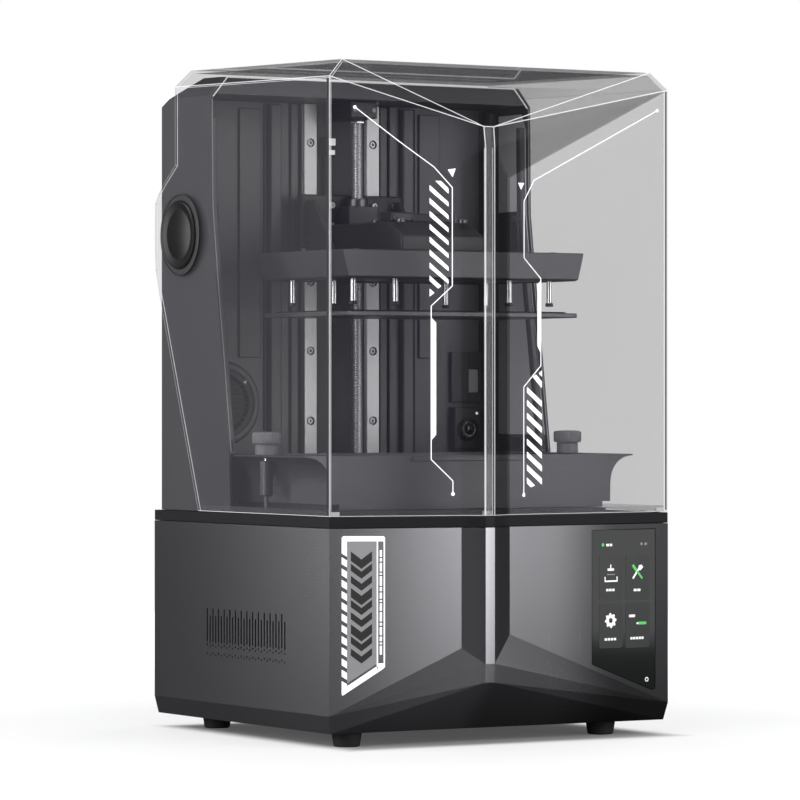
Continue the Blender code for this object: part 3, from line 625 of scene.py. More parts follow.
# ====================================================================== base detail
VENT_Y0, VENT_STEP = 76.2, 9.65
vb = bmesh.new()
for sgn in (-1, 1):
    x0, x1 = sorted((sgn * 157.2, sgn * 163.5))
    for i in range(14):
        y = VENT_Y0 + VENT_STEP * i
        for zz, r in ((73.4, 1.0), (66.2, 1.0)):
            prism_into(vb, disc_pts(y, zz, r, 10), AX["X"], x0, x1)
        yb = y - VENT_STEP / 2
        prism_into(vb, round_rect(yb - 1.0, yb + 1.0, 74.6, 97.7, 0.95, 3), AX["X"], x0, x1)
        for zz, r in ((71.8, 0.9), (64.8, 0.9)):
            prism_into(vb, disc_pts(yb, zz, r, 10), AX["X"], x0, x1)
cut_with(base, vb, "vent_holes")
bv = base.modifiers.new("bevel", "BEVEL")
bv.width = 0.0004
bv.segments = 2
bv.limit_method = "ANGLE"
bv.angle_limit = math.radians(8)
base.data.shade_smooth()
base.data.set_sharp_from_angle(angle=math.radians(4))
bm = bmesh.new()
for sgn in (-1, 1):
    x0, x1 = sorted((sgn * 157.3, sgn * 160.9))
    for i in range(14):
        y = VENT_Y0 + VENT_STEP * i
        for zz in (73.4, 66.2):
            prism_into(bm, disc_pts(y, zz, 0.95, 10), AX["X"], x0, x1)
        prism_into(bm, [(y - 0.95, 76.2), (y + 0.95, 76.2), (y + 0.95, 103.3), (y - 0.95, 103.3)], AX["X"], x0, x1)
        yb = y - VENT_STEP / 2
        prism_into(bm, [(yb - 0.93, 75.0), (yb + 0.93, 75.0), (yb + 0.93, 97.3), (yb - 0.93, 97.3)], AX["X"], x0, x1)
        for zz in (71.8, 64.8):
            prism_into(bm, disc_pts(yb, zz, 0.85, 10), AX["X"], x0, x1)
finish_mesh("vent_mesh", bm, "rubber", "base")

# the base outline, and helpers for bands that follow an inset outline
OUT = [(-HW, DEP), (-HW, 0.0)] + RIDGE + [(HW, 0.0), (HW, DEP)]


def inset(poly, d):
    n = len(poly)
    out = []
    for i in range(n):
        p0, p1, p2 = Vector(poly[i - 1]), Vector(poly[i]), Vector(poly[(i + 1) % n])
        e0, e1 = (p1 - p0).normalized(), (p2 - p1).normalized()
        n0, n1 = Vector((-e0.y, e0.x)), Vector((-e1.y, e1.x))
        out.append(tuple(p1 + (n0 + n1) / (1.0 + n0.dot(n1)) * d))
    return out


def frame_into(bm, poly, d0, d1, z0, z1):
    """Closed band that follows poly between two insets."""
    a, b = inset(poly, d0), inset(poly, d1)
    n = len(poly)
    lay = []
    for ring in (a, b):
        for z in (z0, z1):
            lay.append([bm.verts.new(P(x, y, z)) for x, y in ring])
    ol, oh, il, ih = lay
    for i in range(n):
        j = (i + 1) % n
        bm.faces.new((ol[i], ol[j], oh[j], oh[i]))
        bm.faces.new((il[j], il[i], ih[i], ih[j]))
        bm.faces.new((oh[i], oh[j], ih[j], ih[i]))
        bm.faces.new((ol[j], ol[i], il[i], il[j]))


# ---- generic decal on the left panel: white frame, black field with chevrons, side ticks
BL, BR = panel_fn("L"), panel_fn("R")
bm = bmesh.new()
E0, E1 = 0.06, 0.22
outer = [(-151.9, 166.9), (-150.5, 168.3), (-117.5, 167.9), (-116.3, 166.8), (-116.3, 63.9), (-117.0, 63.0), (-151.2, 42.0), (-151.9, 42.8)]
# frame as four bars so that the field stays open
prism_into(bm, [(-151.9, 166.9), (-150.5, 168.3), (-117.5, 167.9), (-116.3, 166.8), (-116.3, 163.8), (-151.9, 164.1)], BL, E0, E1)
prism_into(bm, [(-123.1, 163.75), (-122.0, 163.75), (-122.0, 64.2), (-123.1, 65.0)], BL, E0, E1)
prism_into(bm, [(-117.4, 163.75), (-116.3, 163.75), (-116.3, 63.9), (-117.4, 63.2)], BL, E0, E1)
prism_into(bm, [(-122.0, 67.0), (-117.4, 67.0), (-117.4, 62.9), (-122.0, 60.0)], BL, E0, E1)
prism_into(bm, [(-151.9, 46.6), (-123.1, 64.6), (-122.0, 60.0), (-151.2, 42.0), (-151.9, 42.8)], BL, E0, E1)
prism_into(bm, [(-151.9, 164.05), (-147.6, 164.05), (-147.6, 152.0), (-151.9, 154.6)], BL, E0, E1)
for i in range(11):
    z = 151.6 - 8.9 * i
    prism_into(bm, [(-151.9, z), (-147.6, z - 2.7), (-147.6, z - 8.1), (-151.9, z - 5.4)], BL, E0, E1)
prism_into(bm, [(-151.9, 53.6), (-147.6, 51.0), (-147.6, 49.4), (-151.9, 46.7)], BL, E0, E1)
finish_mesh("decal_frame", bm, "ink", "base")
# ticks in the narrow strip, uneven in length, standing in for the small print
bm = bmesh.new()
z = 156.8
for k, h in enumerate([5.2, 2.6, 6.8, 1.4, 7.6, 3.2, 4.8, 1.4, 5.8, 7.4, 2.2, 6.4, 3.6, 1.4, 7.0, 4.4, 2.6, 5.4]):
    if z - h < 70.5:
        break
    prism_into(bm, [(-120.6, z), (-118.8, z), (-118.8, z - h), (-120.6, z - h)], BL, E0, E1)
    z -= h + 1.15
finish_mesh("decal_ticks", bm, "ink", "base")
# pale field and a black pattern of blocks with slanted ends
bm = bmesh.new()
prism_into(bm, [(-147.5, 163.0), (-146.6, 163.95), (-123.2, 163.7), (-123.2, 66.7), (-147.5, 51.5)], BL, 0.03, 0.1)
finish_mesh("decal_field", bm, "decal_grey", "base")
bm = bmesh.new()
F0, F1 = 0.12, 0.22
for k in range(9):
    zt = 156.0 - 9.6 * k
    w = 5.6 if k % 3 else 7.4
    prism_into(bm, [(-144.4, zt), (-135.7, zt - 6.4), (-135.7, zt - 6.4 - w), (-144.4, zt - w)], BL, F0, F1)
    prism_into(bm, [(-135.65, zt - 6.4), (-127.0, zt), (-127.0, zt - w), (-135.65, zt - 6.4 - w)], BL, F0, F1)
finish_mesh("decal_blocks", bm, "ink_black", "base")

# ---- touch screen
refine("screen_glass", "glass_black", bevel=0.25)
DONE.add("screen_glass")
G0 = -0.02


def ui(name, mat, polys, d1=0.06, d0=G0):
    bm = bmesh.new()
    for p in polys:
        prism_into(bm, p, BR, d0, d1)
    return finish_mesh(name, bm, mat, "base")


ui("screen_tiles", "tile", [round_rect(87.5, 112.7, 111.8, 148.5, 2.2), round_rect(115.7, 141.9, 111.4, 148.6, 2.2),
                            round_rect(87.5, 112.7, 72.7, 109.3, 2.2), round_rect(115.7, 141.9, 72.2, 109.3, 2.2)], 0.03)
white = []
# plate over base icon
white += [round_rect(96.4, 103.4, 136.0, 138.0, 0.5, 2), [(93.2, 126.9), (107.2, 126.9), (107.2, 128.2), (93.2, 128.2)],
          [(93.2, 128.2), (94.3, 128.2), (94.3, 131.2), (93.2, 131.2)], [(106.1, 128.2), (107.2, 128.2), (107.2, 131.2), (106.1, 131.2)],
          [(99.3, 138.0), (100.5, 138.0), (100.5, 141.2), (99.3, 141.2)]]
grey_ui = [[(95.8, 132.6), (104.2, 132.6), (104.2, 133.4), (95.8, 133.4)]]
# wrench
white += [[(123.0, 129.6), (124.4, 128.6), (131.6, 137.2), (130.2, 138.3)], [(129.6, 137.0), (132.0, 135.6), (134.8, 138.2), (133.2, 140.4), (130.2, 139.8)]]
# gear
gear = []
for k in range(32):
    a = 2 * math.pi * k / 32
    r = 6.2 if (k % 4) in (0, 1) else 4.9
    gear.append((99.8 + r * math.cos(a), 95.3 + r * math.sin(a)))
white.append(gear)
# slider bars
white += [round_rect(119.4, 126.2, 97.3, 99.5, 1.0, 3), round_rect(127.6, 138.4, 91.4, 93.0, 0.7, 3)]
# text-like dashes
for cx, cz, w in ((99.8, 120.3, 9.6), (128.6, 119.6, 8.0), (99.8, 79.9, 13.0), (128.6, 80.0, 15.0)):
    n = max(2, int(w / 3))
    for k in range(n):
        a = cx - w / 2 + k * w / n
        white.append([(a, cz - 1.0), (a + w / n - 0.7, cz - 1.0), (a + w / n - 0.7, cz + 1.0), (a, cz + 1.0)])
white += [[(95.0, 156.2), (98.0, 156.2), (98.0, 158.2), (95.0, 158.2)], [(98.7, 156.2), (101.4, 156.2), (101.4, 158.2), (98.7, 158.2)]]
ui("screen_icons", "ui_white", white, 0.1)
ui("screen_icon_shade", "ui_grey", grey_ui + [disc_pts(133.1, 157.4, 1.2, 12), [(136.3, 156.4), (138.9, 156.4), (138.9, 158.4), (136.3, 158.4)]], 0.1)
ui("screen_gear_hub", "glass_black", [disc_pts(99.8, 95.3, 2.1, 16)], 0.14)
ui("screen_green", "ui_green", [disc_pts(91.4, 157.4, 1.4, 14), [(122.6, 139.6), (124.6, 141.0), (128.6, 136.2), (126.8, 134.6)],
                                [(127.4, 134.4), (128.6, 133.4), (133.4, 128.4), (134.6, 129.6), (129.6, 135.0), (128.6, 135.6)],
                                round_rect(129.6, 138.4, 91.0, 93.4, 1.1, 3)], 0.12)
ui("screen_mark", "ui_white", [disc_pts(138.8, 45.6, 1.9, 16)], 0.06)
ui("screen_mark_hub", "glass_black", [disc_pts(138.8, 45.6, 1.1, 16)], 0.1)

# ---- underside: fasteners, rating-plate blank, grille
bm = bmesh.new()
for x in (-138, -60, 60, 138):
    for y in (24, 140, 258):
        if (x, y) in ((-138, 24), (138, 258)):
            x, y = x + (8 if x < 0 else -8), y
        lathe_into(bm, x, y, 0.0, [(0, 12.9), (2.9, 12.9), (3.0, 12.4), (2.4, 11.7), (1.2, 11.6), (1.1, 12.2), (0, 12.2)], seg=20)
finish_mesh("bottom_screws", bm, "steel_dark", "base", smooth=35)
bm = bmesh.new()
for i in range(9):
    box_bm(bm, -40, 40, 60 + i * 7, 62.6 + i * 7, 12.2, 12.9)
finish_mesh("bottom_grille", bm, "rubber", "base")
boxes("bottom_label_blank", "decal_grey", "base", [(-34, 34, 168, 206, 12.45, 12.85)], bevel=0.1)

# ---- deck: seat strips under the lid edge, seals, screws
boxes("lid_seat", "rubber", "base", [(-158.2, -154.9, 6.0, 168.0, 182.7, 183.4), (154.9, 158.2, 6.0, 168.0, 182.7, 183.4)], bevel=0.25)
bm = bmesh.new()
for x, y in ((-148, 18), (148, 18), (-148, 158), (148, 158), (-60, -6), (30, -6), (-110, 24), (110, 24)):
    lathe_into(bm, x, y, 0.0, [(0, 182.6), (2.7, 182.6), (2.7, 183.6), (2.3, 184.1), (1.3, 184.2), (1.2, 183.6), (0, 183.6)], seg=20)
finish_mesh("deck_screws", bm, "steel_dark", "base", smooth=35)
bm = bmesh.new()
a = [(-132.0, 34.6), (132.0, 34.6), (132.0, 224.0), (-132.0, 224.0)]
frame_into(bm, a, 0.0, 2.6, 182.7, 183.5)
finish_mesh("bed_seal", bm, "rubber", "base", bevel=0.4)

# ====================================================================== column detail
refine("column_shell", "column", bevel=1.2, seg=3)
DONE.add("column_shell")
# side cheeks: a recessed look built from a raised border band and a step block at the hinge
for tag, s in (("left", -1), ("right", 1)):
    x_in, x_out = s * 155.4, s * 149.6
    lo_x, hi_x = sorted((x_in, x_out))
    # upright ribs on the inner face of each cheek
    front = [(172.0, 231.0), (184.0, 310.0), (194.0, 371.0), (203.5, 437.0), (205.0, 512.0)]
    band = [(y + 3.0, z) for y, z in front] + [(y + 10.5, z) for y, z in front[::-1]]
    prism("cheek_band_" + tag, "panel", "base", band, "X", lo_x, hi_x, bevel=1.2, seg=3)
    blk = [(207.0, 395.5), (243.0, 395.5), (247.0, 400.0), (247.0, 434.0), (242.0, 439.5), (208.5, 439.5)]
    lo_b, hi_b = sorted((s * 155.4, s * 147.2))
    prism("hinge_block_" + tag, "black", "base", blk, "X", lo_b, hi_b, bevel=1.6, seg=3)
    bm = bmesh.new()
    for y, z in ((213, 402), (213, 433), (241, 402), (241, 433)):
        lathe_into(bm, s * 147.3, y, z, [(0, 0), (2.6, 0), (2.6, -s * 1.2), (1.5, -s * 1.5), (1.4, -s * 0.8), (0, -s * 0.8)], "X", 18)
    finish_mesh("hinge_block_screws_" + tag, bm, "steel_dark", "base", smooth=35)
    # kick plate along the foot of the cheek
    lo_k, hi_k = sorted((s * 155.4, s * 151.8))
    prism("cheek_foot_" + tag, "panel_dark", "base", [(174.0, 233.5), (259.0, 233.5), (259.0, 243.0), (176.0, 243.0)], "X", lo_k, hi_k, bevel=1.0, seg=2)

# back wall panels with upright ribs
for tag, s in (("left", -1), ("right", 1)):
    refine("fascia_" + tag, "panel", bevel=0.8)
    DONE.add("fascia_" + tag)

    def bx(a, b, y0, y1, z0, z1):
        lo_x, hi_x = sorted((s * a, s * b))
        return (lo_x, hi_x, y0, y1, z0, z1)
    boxes("wall_rib_outer_" + tag, "column", "base", [bx(146.5, 154.6, 251.0, 261.9, 236.0, 528.0)], bevel=2.2, seg=3)
    boxes("wall_rib_inner_" + tag, "panel", "base", [bx(60.0, 71.5, 256.0, 261.9, 192.0, 528.0)], bevel=1.6, seg=3)
    boxes("wall_groove_" + tag, "rubber", "base", [bx(141.2, 144.6, 260.4, 262.0, 300.0, 528.0), bx(74.2, 75.6, 261.2, 262.0, 192.0, 528.0)], bevel=0.3)
    boxes("wall_field_" + tag, "panel", "base", [bx(78.6, 99.6, 259.8, 262.0, 312.0, 524.0)], bevel=0.9)
    boxes("column_skirt_" + tag, "rim", "base", [bx(52.0, 150.0, 258.2, 262.0, 188.2, 198.0)], bevel=1.0)

refine("z_backbone", "panel_dark", bevel=0.6)
DONE.add("z_backbone")
# shallow dark channels each side of the rails and raised edge strips
boxes("backbone_channels", "rubber", "base", [(-22.0, -19.4, 265.2, 266.2, 196, 526), (19.4, 22.0, 265.2, 266.2, 196, 526)], bevel=0.3)
boxes("backbone_edges", "panel", "base", [(-48.0, -40.4, 262.4, 266.3, 192, 529), (40.4, 48.0, 262.4, 266.3, 192, 529)], bevel=0.9)

# linear rails: ground body with side grooves and counterbored screws
RAILZ = [496, 434, 377, 318, 258, 204]
for tag, s in (("left", -1), ("right", 1)):
    bm = bmesh.new()
    w, y0, y1 = 6.4, 257.8, 265.8
    prof = [(-w, y1), (-w, y0 + 4.4), (-w + 1.1, y0 + 3.5), (-w + 1.1, y0 + 2.4), (-w, y0 + 1.5), (-w, y0 + 0.6), (-w + 0.6, y0),
            (w - 0.6, y0), (w, y0 + 0.6), (w, y0 + 1.5), (w - 1.1, y0 + 2.4), (w - 1.1, y0 + 3.5), (w, y0 + 4.4), (w, y1)]
    prism_into(bm, [(s * 31.0 + a, b) for a, b in prof], AX["Z"], 189.0, 529.0)
    rail = finish_mesh("linear_rail_" + tag, bm, "steel", "base", ("rail_" + tag,))
    cb = bmesh.new()
    for z in RAILZ:
        lathe_into(cb, s * 31.0, 256.0, z, [(0, 0), (3.8, 0), (3.8, 5.0), (0, 5.0)], "Y", 28)
    cut_with(rail, cb, "rail_counterbores")
    bm = bmesh.new()
    for z in RAILZ:
        lathe_into(bm, s * 31.0, 258.0, z, [(0, 2.2), (1.25, 2.2), (1.35, 0.4), (2.4, 0.4), (2.8, 0.8), (2.8, 3.2), (0, 3.2)], "Y", 24)
    finish_mesh("rail_screws_" + tag, bm, "steel", "base", smooth=35)
    DONE.add("rail_" + tag)

# lead screw with a cut thread
def thread(name, mat, body, cx, cy, z0, z1, r_out, r_root, pitch, seg=20, replaces=()):
    bm = bmesh.new()
    prof = [(r_root, 0.0), (r_out, 0.1), (r_out, 0.24), (r_root, 0.34), (r_root, 0.5), (r_out, 0.6), (r_out, 0.74), (r_root, 0.84)]
    turns = int((z1 - z0) / pitch)
    grid = []
    for t in range(turns * seg + 1):
        a = 2 * math.pi * (t % seg) / seg
        row = []
        for r, f in prof:
            row.append(bm.verts.new(P(cx + r * math.cos(a), cy + r * math.sin(a), z0 + pitch * (t / seg + f))))
        grid.append(row)
    n = len(prof)
    for t in range(len(grid) - 1):
        a, b = grid[t], grid[t + 1]
        for k in range(n - 1):
            bm.faces.new((a[k], b[k], b[k + 1], a[k + 1]))
    # join each turn's last flank to the next turn's first
    for t in range(len(grid) - 1 - seg):
        a0, a1 = grid[t][-1], grid[t + 1][-1]
        b0, b1 = grid[t + seg][0], grid[t + seg + 1][0]
        bm.faces.new((a0, a1, b1, b0))
    return finish_mesh(name, bm, mat, body, replaces, smooth=40)


bm = bmesh.new()
lathe_into(bm, 0.0, SCREW_Y, 0.0, [(0, 160.6), (4.4, 160.6), (4.8, 161.0), (4.8, 187.6), (3.9, 188.4), (3.6, 188.4), (3.6, 512.8), (4.4, 513.6), (4.8, 514.2), (4.8, 525.1), (4.4, 525.5), (0, 525.5)], seg=28)
finish_mesh("screw_core", bm, "steel_dark", "screw", ("ball_screw",), smooth=35)
th = thread("screw_thread", "thread", "screw", 0.0, SCREW_Y, 188.0, 513.0, 4.8, 3.7, 4.0)
DONE.add("ball_screw")

# top bearing block with cap and screws
refine("screw_top_bearing", "black", bevel=0.8)
DONE.add("screw_top_bearing")
bm = bmesh.new()
for x in (-9.4, 9.4):
    lathe_into(bm, x, 219.4, 523.0, [(0, 0), (1.9, 0), (2.2, 0.5), (2.2, 1.4), (0, 1.4)], "Y", 18)
finish_mesh("bearing_screws", bm, "steel_dark", "base", smooth=35)
lathe("bearing_cap", "black", "base", 0, SCREW_Y, 0, [(5.3, 516.2), (8.0, 516.2), (8.4, 515.8), (8.4, 515.1), (7.9, 514.7), (5.3, 514.7)], seg=36)
lathe("screw_lock_nut", "chrome", "screw", 0, SCREW_Y, 0, [(0, 512.0), (5.8, 512.0), (6.2, 512.4), (6.2, 513.4), (5.8, 513.8), (0, 513.8)], seg=6, smooth=None)
# end stop: board, blade switch and plug
boxes("endstop_body", "black", "base", [(-16.8, -8.2, 254.0, 266.0, 484.2, 501.8)], bevel=0.6, replaces=("endstop_sensor",))
boxes("endstop_parts", "ink", "base", [(-15.6, -9.4, 252.4, 254.4, 494.0, 500.0), (-14.8, -10.4, 251.6, 254.4, 486.0, 490.0)], bevel=0.4)
DONE.add("endstop_sensor")
boxes("cable_clip", "rubber", "base", [(-15.2, -11.2, 262.0, 266.0, 440.0, 484.4)], bevel=1.2)

# round filter cover with slots
refine("filter_cover", "panel_dark", bevel=0.5)
DONE.add("filter_cover")
bm = bmesh.new()
lathe_into(bm, -117.0, 257.4, 273.0, [(29.0, 0), (29.0, -1.2), (30.0, -1.8), (33.6, -1.8), (34.6, -1.2), (34.6, 0.2), (29.0, 0.2)], "Y", 72)
finish_mesh("filter_ring", bm, "panel", "base", smooth=35)
bm = bmesh.new()
for i in range(9):
    z = 257.0 + i * 4.0
    hw_ = math.sqrt(max(4.0, 24.0 ** 2 - (z - 273.0) ** 2))
    box_bm(bm, -117.0 - hw_, -117.0 + hw_, 255.9, 256.8, z - 0.8, z + 0.8)
finish_mesh("filter_bars", bm, "rubber", "base")
bm = bmesh.new()
lathe_into(bm, -96.5, 256.2, 291.0, [(0, -0.9), (1.5, -0.9), (2.3, -0.4), (2.3, 0.8), (0, 0.8)], "Y", 18)
lathe_into(bm, -137.5, 256.2, 255.0, [(0, -0.9), (1.5, -0.9), (2.3, -0.4), (2.3, 0.8), (0, 0.8)], "Y", 18)
finish_mesh("filter_screws", bm, "steel", "base", smooth=35)

# camera: hooded housing, lens in a ring
refine("camera_housing", "black", bevel=1.6, seg=3)
DONE.add("camera_housing")
bm = bmesh.new()
lathe_into(bm, 123.5, 252.6, 250.5, [(0, 0), (9.5, 0), (9.5, -4.4), (8.8, -5.1), (7.6, -5.2), (6.6, -3.0), (0, -3.0)], "Y", 48)
finish_mesh("camera_barrel", bm, "black_gloss", "base", ("camera_lens",), smooth=30)
DONE.add("camera_lens")
lathe("camera_glass", "lens", "base", 123.5, 249.7, 250.5, [(0, -2.0), (1.6, -1.85), (3.4, -1.3), (4.9, -0.4), (5.4, 0.3), (0, 0.3)], "Y", 40, smooth=60)
lathe("camera_ring", "chrome", "base", 123.5, 249.6, 250.5, [(5.4, 0.2), (5.4, -0.6), (6.0, -0.9), (6.5, -0.6), (6.5, 0.2)], "Y", 40)
boxes("camera_base", "black", "base", [(114.0, 134.0, 254.0, 262.0, 227.4, 233.4)], bevel=1.0)
boxes("camera_led", "ink", "base", [(132.0, 134.2, 251.8, 253.0, 263.2, 265.4)], bevel=0.4)
boxes("lamp_bezel", "black", "base", [(110.6, 128.2, 257.6, 262.0, 274.0, 318.0), (138.8, 141.4, 257.6, 262.0, 274.0, 318.0),
                                      (128.2, 138.8, 257.6, 262.0, 274.0, 282.2), (128.2, 138.8, 257.6, 262.0, 303.1, 318.0)], bevel=0.5)
refine("light_bar", "lamp", bevel=0.3)
DONE.add("light_bar")

# cheek liners, the right one in a much lighter copy of the bay panel as painted light on a face the lamps barely reach,
# and a painted highlight along the tower's front edge
for tag, s_ in (("left", -1), ("right", 1)):
    lo_l, hi_l = sorted((s_ * 155.4, s_ * 154.2))
    liner = [(176.5, 246.0), (187.5, 312.0), (197.0, 371.0), (206.0, 437.0), (207.5, 510.0), (214.0, 524.0), (250.5, 524.0), (250.5, 246.0)]
    prism("cheek_liner_" + tag, "panel_painted_light" if s_ > 0 else "panel", "base", liner, "X", lo_l, hi_l, bevel=0.4)
# painted highlight: a glowing bead stands in for the bright line the light draws along the tower's top front edge
bm = bmesh.new()
edge_pts = [(-155.0, 528.4), (-141.4, 544.9), (141.4, 544.9), (155.0, 528.4)]
ribbon_into(bm, edge_pts, 0.9, lambda x, z, d: P(x, 204.9 - d, z), -0.3, 0.55)
finish_mesh("tower_edge_painted_highlight", bm, "painted_edge_highlight", "base")
# painted highlight: lighter beads along the cheeks' front edges stand in for the light line those edges catch
bm = bmesh.new()
for s_ in (-1, 1):
    pts = [(172.2, 233.5), (184.0, 310.0), (194.0, 371.0), (203.5, 437.0), (204.7, 527.0)]
    ribbon_into(bm, pts, 0.7, lambda y, z, d, s_=s_: P(s_ * (155.9 + d), y, z), -0.35, 0.35)
finish_mesh("cheek_edge_painted_highlights", bm, "edge_dim_painted_highlight", "base")

# ====================================================================== moving parts
# carriage on its rail blocks
for tag, s_ in (("left", -1), ("right", 1)):
    bm = bmesh.new()
    box_bm(bm, s_ * 31 - 13.5, s_ * 31 + 13.5, 250.3, 257.2, 409.0, 447.0)
    ob = finish_mesh("rail_block_body_" + tag, bm, "steel_dark", "carriage", ("rail_block_" + tag,), bevel=0.7)
    boxes("rail_block_skirts_" + tag, "steel_dark", "carriage", [(s_ * 31 - 13.5, s_ * 31 - 6.9, 256.9, 263.2, 409.0, 447.0), (s_ * 31 + 6.9, s_ * 31 + 13.5, 256.9, 263.2, 409.0, 447.0)], bevel=0.6)
    boxes("rail_block_wipers_" + tag, "rubber", "carriage", [(s_ * 31 - 13.2, s_ * 31 + 13.2, 250.8, 257.1, 447.0, 449.0), (s_ * 31 - 13.2, s_ * 31 + 13.2, 250.8, 257.1, 407.0, 409.0)], bevel=0.4)
    DONE.add("rail_block_" + tag)
refine("carriage_plate", "panel_dark", bevel=1.4, seg=3)
DONE.add("carriage_plate")
bm = bmesh.new()
for x in (-41, -21, 21, 41):
    for z in (414.0, 442.0):
        lathe_into(bm, x, 240.3, z, [(0, 0.5), (2.9, 0.5), (2.9, -1.9), (2.5, -2.3), (1.4, -2.3), (1.3, -1.2), (0, -1.2)], "Y", 20)
finish_mesh("carriage_screws", bm, "steel", "carriage", smooth=35)
refine("screw_nut", "black", bevel=1.2, seg=3)
DONE.add("screw_nut")
lathe("nut_collar", "steel_dark", "carriage", 0, SCREW_Y, 0, [(5.3, 441.0), (9.4, 441.0), (9.4, 447.0), (8.8, 447.8), (5.3, 447.8)], seg=40)
refine("platform_arm", "black", bevel=1.6, seg=3)
DONE.add("platform_arm")
bm = bmesh.new()
for x, y in ((-30, 110), (30, 110), (-30, 150), (30, 150), (-30, 225), (30, 225)):
    lathe_into(bm, x, y, 0.0, [(0, 423.4), (3.6, 423.4), (3.6, 426.0), (3.1, 426.6), (1.8, 426.6), (1.7, 425.2), (0, 425.2)], seg=22)
finish_mesh("arm_screws", bm, "steel_dark", "carriage", smooth=35)
# gussets between the arm and the carriage plate
for tag, s_ in (("left", -1), ("right", 1)):
    lo_g, hi_g = sorted((s_ * 40.3, s_ * 44.3))
    prism("arm_gusset_" + tag, "black", "carriage", [(239.8, 399.0), (239.8, 446.0), (232.0, 446.0), (196.0, 404.0), (196.0, 399.0)], "X", lo_g, hi_g, bevel=1.0, seg=2)
refine("release_lever", "black", bevel=1.4, seg=3)
DONE.add("release_lever")
# sloped platform block: shadow line near the foot and countersunk screws on top
refine("platform_block", "alu", bevel=0.7, seg=2)
DONE.add("platform_block")
bm = bmesh.new()
for x in (-95, 95):
    for y in (72, 182):
        lathe_into(bm, x, y, 0.0, [(0, 397.6), (3.4, 397.6), (3.4, 398.6), (2.9, 399.1), (1.7, 399.1), (1.6, 398.3), (0, 398.3)], seg=22)
finish_mesh("block_screws", bm, "steel_dark", "carriage", smooth=35)
frame_bm = bmesh.new()
frame_into(frame_bm, [(-109.8, 58.2), (109.8, 58.2), (109.8, 195.8), (-109.8, 195.8)], 0.0, 3.0, 374.9, 376.4)
finish_mesh("block_foot_rim", frame_bm, "rim", "carriage", bevel=0.3)
# spring posts with collars
for i in (1, 2, 3, 4):
    for j in "ab":
        node = "post_%d%s" % (i, j)
        lo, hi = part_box(node)
        cx, cy = (lo.x + hi.x) * 500.0, (lo.y + hi.y) * 500.0 + Y_MID
        z0, z1 = lo.z * 1000.0, hi.z * 1000.0
        lathe("spring_" + node, "chrome", "carriage", cx, cy, 0, [(0, z0 + 1.2), (2.3, z0 + 1.2), (2.3, z1), (0, z1)], seg=28, replaces=(node,))
        lathe("collar_" + node, "black", "carriage", cx, cy, 0, [(0, z0), (3.0, z0), (3.3, z0 + 0.4), (3.3, z0 + 2.6), (2.9, z0 + 3.0), (0, z0 + 3.0)], seg=28)
        DONE.add(node)
# build plate: dark anodised face with a bevelled edge and a grip notch line
refine("build_plate", "plate", bevel=0.6, seg=2)
DONE.add("build_plate")
frame_bm = bmesh.new()
frame_into(frame_bm, [(-104.0, 66.0), (104.0, 66.0), (104.0, 188.0), (-104.0, 188.0)], 0.0, 4.0, 347.9, 349.4)
finish_mesh("plate_clamp_rim", frame_bm, "rim", "plate", bevel=0.4)

# vat: smooth flare, pour lip, film ring
vh = [(126.5, 187.2), (127.0, 191.8), (134.6, 191.8)]
for k in range(15):
    t = k / 14.0
    x = 134.8 + 22.4 * (1.0 - math.cos(t * math.pi / 2.0)) ** 1.15
    z = 205.0 + 24.7 * math.sin(t * math.pi / 2.0)
    vh.append((x, z))
vh += [(157.3, 230.4), (156.8, 231.0)]
bm = bmesh.new()
prism_into(bm, vh + [(-x, z) for x, z in vh[::-1]], AX["Y"], 45.0, 213.0)
vat = finish_mesh("vat_shell", bm, "vat", "bed", ("vat_body",), smooth=28)
cb = bmesh.new()
prism_into(cb, round_rect(-119, 119, 52.5, 205.5, 6.0), AX["Z"], 180.0, 240.0)
cut_with(vat, cb, "vat_well")
cb = bmesh.new()
for s_ in (-1, 1):
    x0, x1 = sorted((s_ * 153.6, s_ * 160.0))
    prism_into(cb, [(s_ * 153.6, 165.0), (s_ * 160.0, 161.0), (s_ * 160.0, 216.0), (s_ * 153.6, 216.0)], AX["Z"], 180.0, 240.0)
    lathe_into(cb, s_ * 146.8, 128.7, 0.0, [(0, 185.0), (2.4, 185.0), (2.4, 240.0), (0, 240.0)], seg=24)
cut_with(vat, cb, "vat_cuts")
bv = vat.modifiers.new("bevel", "BEVEL")
bv.width = 0.0007
bv.segments = 2
bv.limit_method = "ANGLE"
bv.angle_limit = math.radians(35)
DONE.add("vat_body")
bm = bmesh.new()
for s_ in (-1, 1):
    lathe_into(bm, s_ * 146.8, 128.7, 0.0, [(2.5, 197.4), (4.8, 197.4), (5.5, 198.2), (5.5, 226.0), (2.5, 226.0)], seg=32)
finish_mesh("vat_bosses", bm, "vat", "bed", smooth=35)
boxes("vat_knob_pads", "vat", "bed", [(-154.5, -136.5, 116.0, 141.6, 230.7, 231.2), (136.5, 154.5, 116.0, 141.6, 230.7, 231.2)], bevel=0.2)
frame_bm = bmesh.new()
frame_into(frame_bm, [(-118.4, 53.1), (118.4, 53.1), (118.4, 204.9), (-118.4, 204.9)], 0.0, 4.0, 187.8, 188.9)
finish_mesh("film_clamp_ring", frame_bm, "steel_dark", "bed", bevel=0.2)
bm = bmesh.new()
for x in range(-105, 106, 30):
    for y in (55.1, 202.9):
        lathe_into(bm, x, y, 0.0, [(0, 188.5), (1.5, 188.5), (1.5, 189.6), (1.1, 189.9), (0, 189.9)], seg=14)
finish_mesh("film_ring_screws", bm, "steel", "bed", smooth=35)
bm = bmesh.new()
for k, z in enumerate((196.0, 206.0, 216.0)):
    box_bm(bm, -119.2, -118.4, 100.0, 100.0 + 14.0 - 4.0 * (k % 2), z, z + 0.5)
finish_mesh("vat_level_marks", bm, "ink", "bed")
